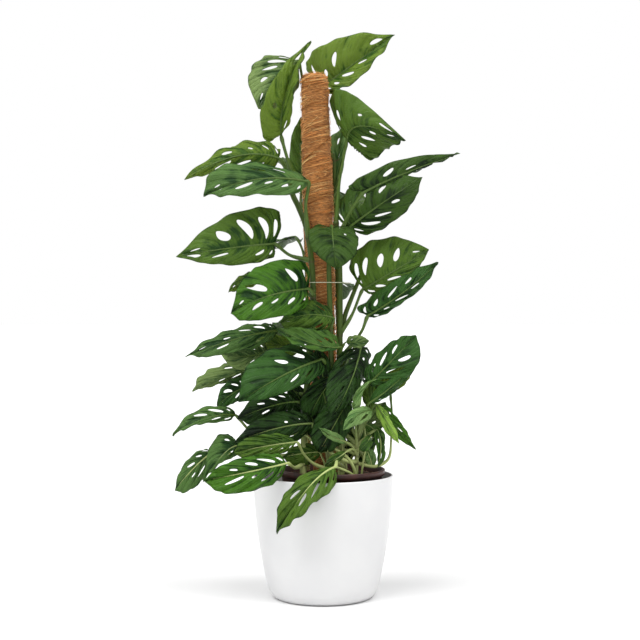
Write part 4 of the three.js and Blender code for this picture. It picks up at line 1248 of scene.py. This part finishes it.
# name, stem, height of the stalk's foot, points the stalk passes, then the blade's base,
# middle and tip and the widest points of its left and right margins, how far the two lobes
# reach back, how much the margin ripples and from where, the holes of the two halves in
# tenths of the half from base to tip, and the green
LEAVES = [
    ("leaf_01", "back_right_vine", 690, ((-2, 32, 767),),
     (1, 30, 808), (46, 18, 839), (108, 10, 882), (-13, 20, 867), (41, -6, 805),
     (0.45, 0.45), 3, 1, ("060504", "033430"), "bright"),
    ("leaf_02", "back_left_vine", 690, ((-29, 34, 779),),
     (-40, -2, 843), (-69, -10, 815), (-99, -14, 769), (-54, 10, 782), (-104, -4, 841),
     (0.4, 0.4), 1, 0, ("000000", "046530"), "grey"),
    ("leaf_03", "left_vine", 652, ((-56, -26, 686),),
     (-65, -34, 719), (-57, -52, 782), (-23, -40, 860), (-96, -66, 745), (-44, -74, 783),
     (0.55, 0.25), 2, 0, ("000305", "030040"), "bright"),
    ("leaf_04", "right_vine", 585, ((26, -19, 653),),
     (37, -16, 714), (58, -42, 733), (119, -66, 711), (12, -16, 790), (89, -22, 693),
     (0.4, 0.4), 2, 2, ("003003", "003400"), "mid"),
    ("leaf_05", "left_vine", 640, ((-61, -22, 674),),
     (-69, -30, 685), (-131, -52, 686), (-208, -44, 654), (-122, -40, 663), (-104, -30, 713),
     (0.35, 0.35), 2, 0, ("003460", "063040"), "bright"),
    ("leaf_06", "right_vine", 560, ((41, -50, 598),),
     (62, -74, 628), (123, -92, 655), (199, -98, 681), (71, -84, 657), (98, -74, 642),
     (0.7, 0.3), 2, 1, ("000400", "000000"), "dark"),
    ("leaf_07", "left_vine", 560, ((-27, -40, 612),),
     (-23, -44, 647), (-99, -80, 647), (-175, -86, 623), (-86, -86, 624), (-106, -62, 677),
     (0.2, 0.6), 2, 1, ("033050", "004300"), "bluish"),
    ("leaf_08", "right_vine", 548, ((32, -30, 571),),
     (38, -36, 576), (88, -62, 611), (147, -58, 650), (37, -26, 638), (103, -66, 583),
     (0.4, 0.3), 2, 0, ("075430", "056430"), "dark"),
    ("leaf_09", "middle_vine", 548, ((12, -38, 579),),
     (14, -48, 576), (16, -82, 543), (21, -86, 512), (53, -76, 558), (-23, -70, 562),
     (0.4, 0.4), 2, 0, ("043000", "040000"), "dark"),
    ("leaf_10", "left_vine", 526, ((-52, -26, 535),),
     (-75, -34, 552), (-139, -66, 544), (-219, -60, 532), (-115, -60, 520), (-99, -50, 608),
     (0.3, 0.45), 2, 2, ("034045", "068760"), "mid"),
    ("leaf_11", "right_vine", 412, ((45, -20, 442),),
     (62, -24, 482), (112, -46, 511), (160, -40, 541), (62, -26, 552), (112, -50, 488),
     (0.4, 0.3), 2, 1, ("075450", "055400"), "mid"),
    ("leaf_12", "left_vine", 470, ((-61, -12, 494),),
     (-96, -16, 501), (-120, -26, 495), (-146, -26, 479), (-120, -24, 484), (-118, -14, 509),
     (0.3, 0.3), 1, 0, ("00000", "00000"), "bright"),
    ("leaf_13", "right_vine", 372, ((60, -31, 417),),
     (69, -35, 440), (125, -62, 478), (173, -58, 520), (86, -44, 480), (120, -64, 460),
     (0.5, 0.3), 2, 0, ("054430", "043430"), "pine"),
    ("leaf_14", "left_vine", 480, ((-16, -42, 474),),
     (-22, -47, 482), (-84, -78, 470), (-136, -84, 446), (-71, -84, 439), (-69, -60, 527),
     (0.5, 0.6), 2, 1, ("043040", "055070"), "vivid"),
    ("leaf_15", "middle_vine", 420, (),
     (17, -42, 437), (-23, -50, 442), (-63, -48, 431), (-26, -46, 412), (-20, -44, 465),
     (0.4, 0.4), 1, 0, ("044000", "044000"), "mid"),
    ("leaf_16", "right_vine", 372, (),
     (28, -42, 392), (-11, -62, 396), (-67, -66, 419), (-8, -46, 417), (-14, -72, 387),
     (0.35, 0.35), 2, 0, ("034000", "004000"), "pine"),
    ("leaf_17", "right_vine", 380, (),
     (35, -38, 400), (50, -48, 400), (69, -50, 402), (49, -42, 411), (52, -50, 391),
     (0.3, 0.3), 1, 0, ("00000", "03000"), "grey"),
    ("leaf_18", "left_vine", 400, ((-48, -26, 415),),
     (-69, -30, 418), (-130, -58, 406), (-206, -56, 380), (-127, -58, 388), (-122, -42, 426),
     (0.3, 0.3), 2, 0, ("044040", "045300"), "bluish"),
    ("leaf_19", "left_vine", 380, ((-55, -22, 387),),
     (-86, -22, 387), (-120, -34, 378), (-158, -32, 384), (-116, -36, 358), (-120, -22, 401),
     (0.3, 0.3), 1, 0, ("04300", "04400"), "grey"),
    ("leaf_20", "right_vine", 300, ((48, -34, 313),),
     (69, -42, 334), (104, -62, 371), (139, -62, 408), (83, -48, 383), (128, -68, 347),
     (0.35, 0.35), 2, 0, ("044540", "045650"), "pine"),
    ("leaf_21", "middle_vine", 345, (),
     (-2, -46, 374), (-59, -80, 351), (-123, -82, 313), (-34, -72, 334), (-79, -70, 390),
     (0.4, 0.4), 2, 0, ("045400", "056400"), "pine"),
    ("leaf_22", "left_vine", 352, ((-58, -12, 362),),
     (-96, -2, 360), (-142, -18, 350), (-199, -26, 325), (-142, -16, 340), (-159, -4, 365),
     (0.3, 0.3), 1, 1, ("004430", "044400"), "grey"),
    ("leaf_23", "right_vine", 352, ((45, -22, 387),),
     (59, -22, 392), (43, -52, 340), (15, -72, 288), (71, -25, 356), (12, -62, 352),
     (0.3, 0.22), 2, 1, ("030400", "055000"), "deep"),
    ("leaf_24", "right_vine", 352, (),
     (26, -40, 354), (0, -46, 323), (-19, -46, 288), (23, -42, 314), (-25, -50, 326),
     (0.4, 0.4), 1, 0, ("04300", "04400"), "deep"),
    ("leaf_25", "young_shoot", 236, (),
     (47, -62, 295), (53, -66, 323), (82, -66, 344), (47, -64, 318), (59, -70, 321),
     (0.3, 0.3), 1, 0, ("03000", "00000"), "young"),
    ("leaf_26", "left_vine", 318, ((-74, -16, 328),),
     (-120, -20, 331), (-142, -30, 319), (-164, -26, 302), (-135, -32, 307), (-145, -26, 341),
     (0.35, 0.35), 1, 0, ("04400", "04560"), "pine"),
    ("leaf_27", "left_vine", 300, (),
     (-42, -44, 308), (-79, -52, 302), (-128, -52, 284), (-73, -46, 274), (-82, -44, 323),
     (0.4, 0.4), 2, 0, ("044000", "043430"), "deep"),
    ("leaf_28", "right_vine", 312, (),
     (40, -46, 314), (18, -58, 275), (-5, -62, 235), (41, -54, 262), (-8, -66, 288),
     (0.4, 0.4), 1, 1, ("043000", "034000"), "deep"),
    ("leaf_29", "left_vine", 262, ((-101, -36, 254),),
     (-136, -36, 287), (-179, -60, 284), (-228, -58, 260), (-174, -64, 278), (-173, -48, 303),
     (0.35, 0.35), 1, 0, ("04400", "04660"), "bluish"),
    ("leaf_30", "young_shoot", 250, (),
     (88, -26, 300), (108, -34, 271), (141, -34, 236), (114, -32, 284), (96, -31, 272),
     (0.3, 0.3), 2, 0, ("044000", "000000"), "vivid"),
    ("leaf_31", "young_shoot", 214, ((33, -54, 219), (-8, -58, 247)),
     (-17, -54, 275), (-66, -68, 270), (-130, -70, 250), (-66, -67, 245), (-63, -66, 295),
     (0.4, 0.4), 2, 1, ("043000", "043000"), "deep"),
    ("leaf_32", "middle_vine", 202, ((-14, -52, 213), (-29, -60, 228)),
     (-40, -76, 249), (-86, -88, 244), (-131, -90, 235), (-86, -92, 228), (-92, -86, 262),
     (0.35, 0.35), 2, 0, ("043000", "034300"), "mid"),
    ("leaf_33", "left_vine", 236, ((-79, -42, 233),),
     (-127, -46, 240), (-149, -60, 232), (-181, -60, 191), (-148, -66, 221), (-159, -50, 259),
     (0.35, 0.35), 1, 0, ("03300", "04300"), "bluish"),
    ("leaf_34", "left_vine", 212, ((-42, -60, 208),),
     (-54, -96, 219), (-112, -114, 208), (-173, -112, 196), (-106, -122, 181), (-109, -112, 232),
     (0.4, 0.4), 2, 1, ("045060", "056430"), "vivid"),
    ("leaf_35", "left_vine", 226, ((-105, -20, 222),),
     (-172, -22, 228), (-197, -36, 208), (-228, -32, 173), (-194, -36, 180), (-204, -26, 224),
     (0.35, 0.35), 1, 0, ("04400", "05440"), "bluish"),
    ("leaf_36", "right_vine", 206, ((21, -66, 219),),
     (18, -92, 213), (-20, -128, 189), (-65, -132, 125), (-5, -146, 175), (-36, -116, 201),
     (0.4, 0.6), 2, 0, ("055640", "034040"), "mid"),
    ("leaf_37", "back_left_vine", 610, (),
     (-31, 32, 652), (-32, 42, 708), (-35, 36, 756), (-53, 36, 691), (-5, 50, 699),
     (0.4, 0.4), 1, 0, ("00000", "00000"), "mid"),
    ("leaf_38", "back_right_vine", 590, (),
     (16, 24, 629), (22, 36, 683), (32, 30, 740), (-2, 46, 684), (33, 30, 703),
     (0.4, 0.4), 1, 0, ("00000", "00000"), "young"),
    ("leaf_39", "back_left_vine", 600, ((-36, 58, 626),),
     (-30, 62, 700), (-34, 104, 700), (-30, 138, 668), (8, 92, 690), (-76, 88, 694),
     (0.4, 0.4), 2, 0, ("04050", "04000"), "mid"),
    ("leaf_40", "back_right_vine", 585, (),
     (26, 60, 640), (34, 104, 636), (40, 146, 606), (72, 84, 630), (-4, 92, 632),
     (0.4, 0.4), 2, 1, ("04500", "00450"), "mid"),
    ("leaf_41", "back_left_vine", 520, (),
     (-44, 50, 568), (-66, 84, 565), (-86, 120, 550), (-42, 98, 561), (-88, 66, 560),
     (0.4, 0.4), 2, 2, ("04000", "00540"), "dark"),
    ("leaf_42", "back_right_vine", 455, (),
     (22, 62, 500), (22, 104, 492), (14, 142, 458), (52, 94, 486), (-14, 92, 486),
     (0.4, 0.4), 2, 0, ("05500", "04000"), "dark"),
    ("leaf_43", "back_left_vine", 390, (),
     (-36, 58, 440), (-48, 98, 430), (-56, 138, 396), (-12, 98, 424), (-82, 82, 424),
     (0.4, 0.4), 2, 1, ("00540", "04000"), "dark"),
    ("leaf_44", "back_right_vine", 322, (),
     (40, 52, 370), (60, 88, 360), (76, 124, 326), (92, 72, 352), (30, 100, 352),
     (0.4, 0.4), 2, 2, ("04040", "00400"), "deep"),
    ("leaf_45", "back_left_vine", 262, (),
     (-20, 62, 310), (-30, 104, 296), (-36, 142, 258), (8, 96, 290), (-64, 90, 290),
     (0.4, 0.4), 2, 0, ("05040", "00500"), "deep"),
    ("leaf_46", "left_vine", 391, (),
     (-38, -12, 387), (-68, -13, 395), (-101, -8, 403), (-68, -10, 379), (-64, -10, 410),
     (0.35, 0.35), 1, 0, ("00000", "04000"), "bright"),
    ("leaf_47", "young_shoot", 212, ((82, -30, 207), (101, -28, 218), (106, -24, 250), (107, -20, 290)),
     (105, -30, 321), (119, -38, 343), (138, -44, 368), (76, -26, 331), (131, -46, 343),
     (0.5, 0.3), 1, 0, ("04000", "00400"), "bright"),
    ("leaf_48", "right_vine", 232, (),
     (45, -12, 246), (67, -14, 271), (95, -16, 303), (45, -12, 280), (92, -14, 265),
     (0.35, 0.35), 1, 0, ("00400", "00000"), "grey"),
]
# the small leaves of the young shoot, in the same way but without the stem and the bends
SHOOT_LEAVES = [
    ("shoot_u", 258,
     (75, -56, 296), (54, -70, 290), (31, -78, 269), (59, -66, 276), (51, -72, 300),
     (0.35, 0.35), 1, 0, ("060", "000"), "young"),
    ("shoot_u2", 250,
     (81, -50, 305), (95, -58, 282), (115, -60, 248), (101, -52, 286), (90, -54, 272),
     (0.3, 0.3), 2, 0, ("030", "000"), "fresh"),
    ("shoot_w", 240,
     (74, -42, 255), (66, -52, 245), (56, -54, 235), (61, -50, 250), (72, -48, 237),
     (0.35, 0.35), 1, 0, ("000", "000"), "young"),
    ("shoot_x", 225,
     (35, -54, 247), (16, -68, 256), (-5, -76, 269), (18, -66, 248), (15, -70, 264),
     (0.35, 0.35), 1, 0, ("000", "000"), "young"),
    ("shoot_y", 258,
     (70, -60, 307), (100, -66, 329), (133, -60, 359), (96, -62, 339), (105, -58, 321),
     (0.3, 0.3), 2, 1, ("0000", "0030"), "pine"),
    ("shoot_z", 236,
     (83, -38, 264), (89, -44, 240), (84, -46, 209), (82, -42, 238), (95, -40, 236),
     (0.3, 0.3), 1, 1, ("000", "000"), "mid"),
    ("shoot_v", 230,
     (35, -60, 232), (22, -70, 224), (4, -76, 213), (21, -68, 215), (16, -70, 230),
     (0.3, 0.3), 1, 1, ("000", "000"), "mid"),
    ("shoot_t", 240,
     (63, -30, 273), (79, -34, 264), (94, -36, 244), (76, -32, 256), (87, -32, 267),
     (0.3, 0.3), 1, 1, ("000", "000"), "pine"),
    ("shoot_s", 236,
     (67, -10, 205), (59, -14, 234), (45, -20, 262), (47, -10, 235), (70, -12, 238),
     (0.3, 0.3), 1, 1, ("0000", "0040"), "pine"),
    ("shoot_r", 232,
     (53, -16, 214), (67, -16, 235), (84, -14, 256), (61, -12, 244), (75, -14, 223),
     (0.3, 0.3), 1, 2, ("000", "000"), "mid"),
    ("shoot_q", 228,
     (40, -18, 211), (37, -22, 234), (31, -26, 257), (26, -20, 233), (47, -22, 238),
     (0.3, 0.3), 1, 1, ("000", "000"), "dark"),
    ("shoot_p", 240,
     (76, -30, 204), (73, -34, 219), (66, -38, 236), (65, -34, 217), (82, -32, 223),
     (0.3, 0.3), 1, 0, ("000", "000"), "young"),
    ("shoot_o", 236,
     (0, -38, 244), (-13, -44, 272), (-27, -42, 309), (-30, -40, 269), (1, -40, 276),
     (0.3, 0.3), 1, 1, ("0000", "0040"), "deep"),
    ("shoot_n", 244,
     (6, -36, 261), (-2, -42, 295), (-11, -40, 334), (-19, -38, 295), (12, -38, 298),
     (0.3, 0.3), 1, 2, ("0000", "0300"), "pine"),
    ("shoot_m", 240,
     (-14, -28, 271), (-31, -32, 304), (-50, -30, 330), (-47, -30, 297), (-19, -30, 313),
     (0.3, 0.3), 1, 1, ("0000", "0000"), "deep"),
    ("shoot_l", 226,
     (-2, -40, 230), (-28, -48, 229), (-60, -54, 224), (-31, -50, 211), (-26, -44, 244),
     (0.3, 0.3), 1, 1, ("0000", "0000"), "mid"),
    # a leaf in the darkest greens set in behind the others: painted shade that darkens a gap where the
    # coir would show
    ("shoot_k", 250,
     (12, -38, 304), (0, -42, 345), (-8, -40, 388), (-19, -38, 343), (17, -40, 349),
     (0.3, 0.3), 1, 2, ("0000", "0300"), "deep"),
    ("shoot_j", 256,
     (74, -30, 296), (71, -34, 315), (68, -32, 341), (60, -32, 316), (83, -32, 321),
     (0.3, 0.3), 1, 1, ("000", "000"), "mid"),
]

LEAVES += [(name, "young_shoot", height, (), *rest) for name, height, *rest in SHOOT_LEAVES]
for number, row in enumerate(LEAVES):
    name, stem, height, ways, *shape, slits, green = row
    points, faces, looks, maps, cut_edges = leaf_mesh(stem, height, ways, shape, slits, number)
    leaf = make_piece(
        name + "_blade",
        points,
        faces,
        [leaf_tops[green], leaf_under, stalk_green],
        face_material=looks,
        uv_maps=maps,
        flat=cut_edges,
    )
    if name.startswith("leaf"):
        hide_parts(name)
    else:
        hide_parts("young_shoot")
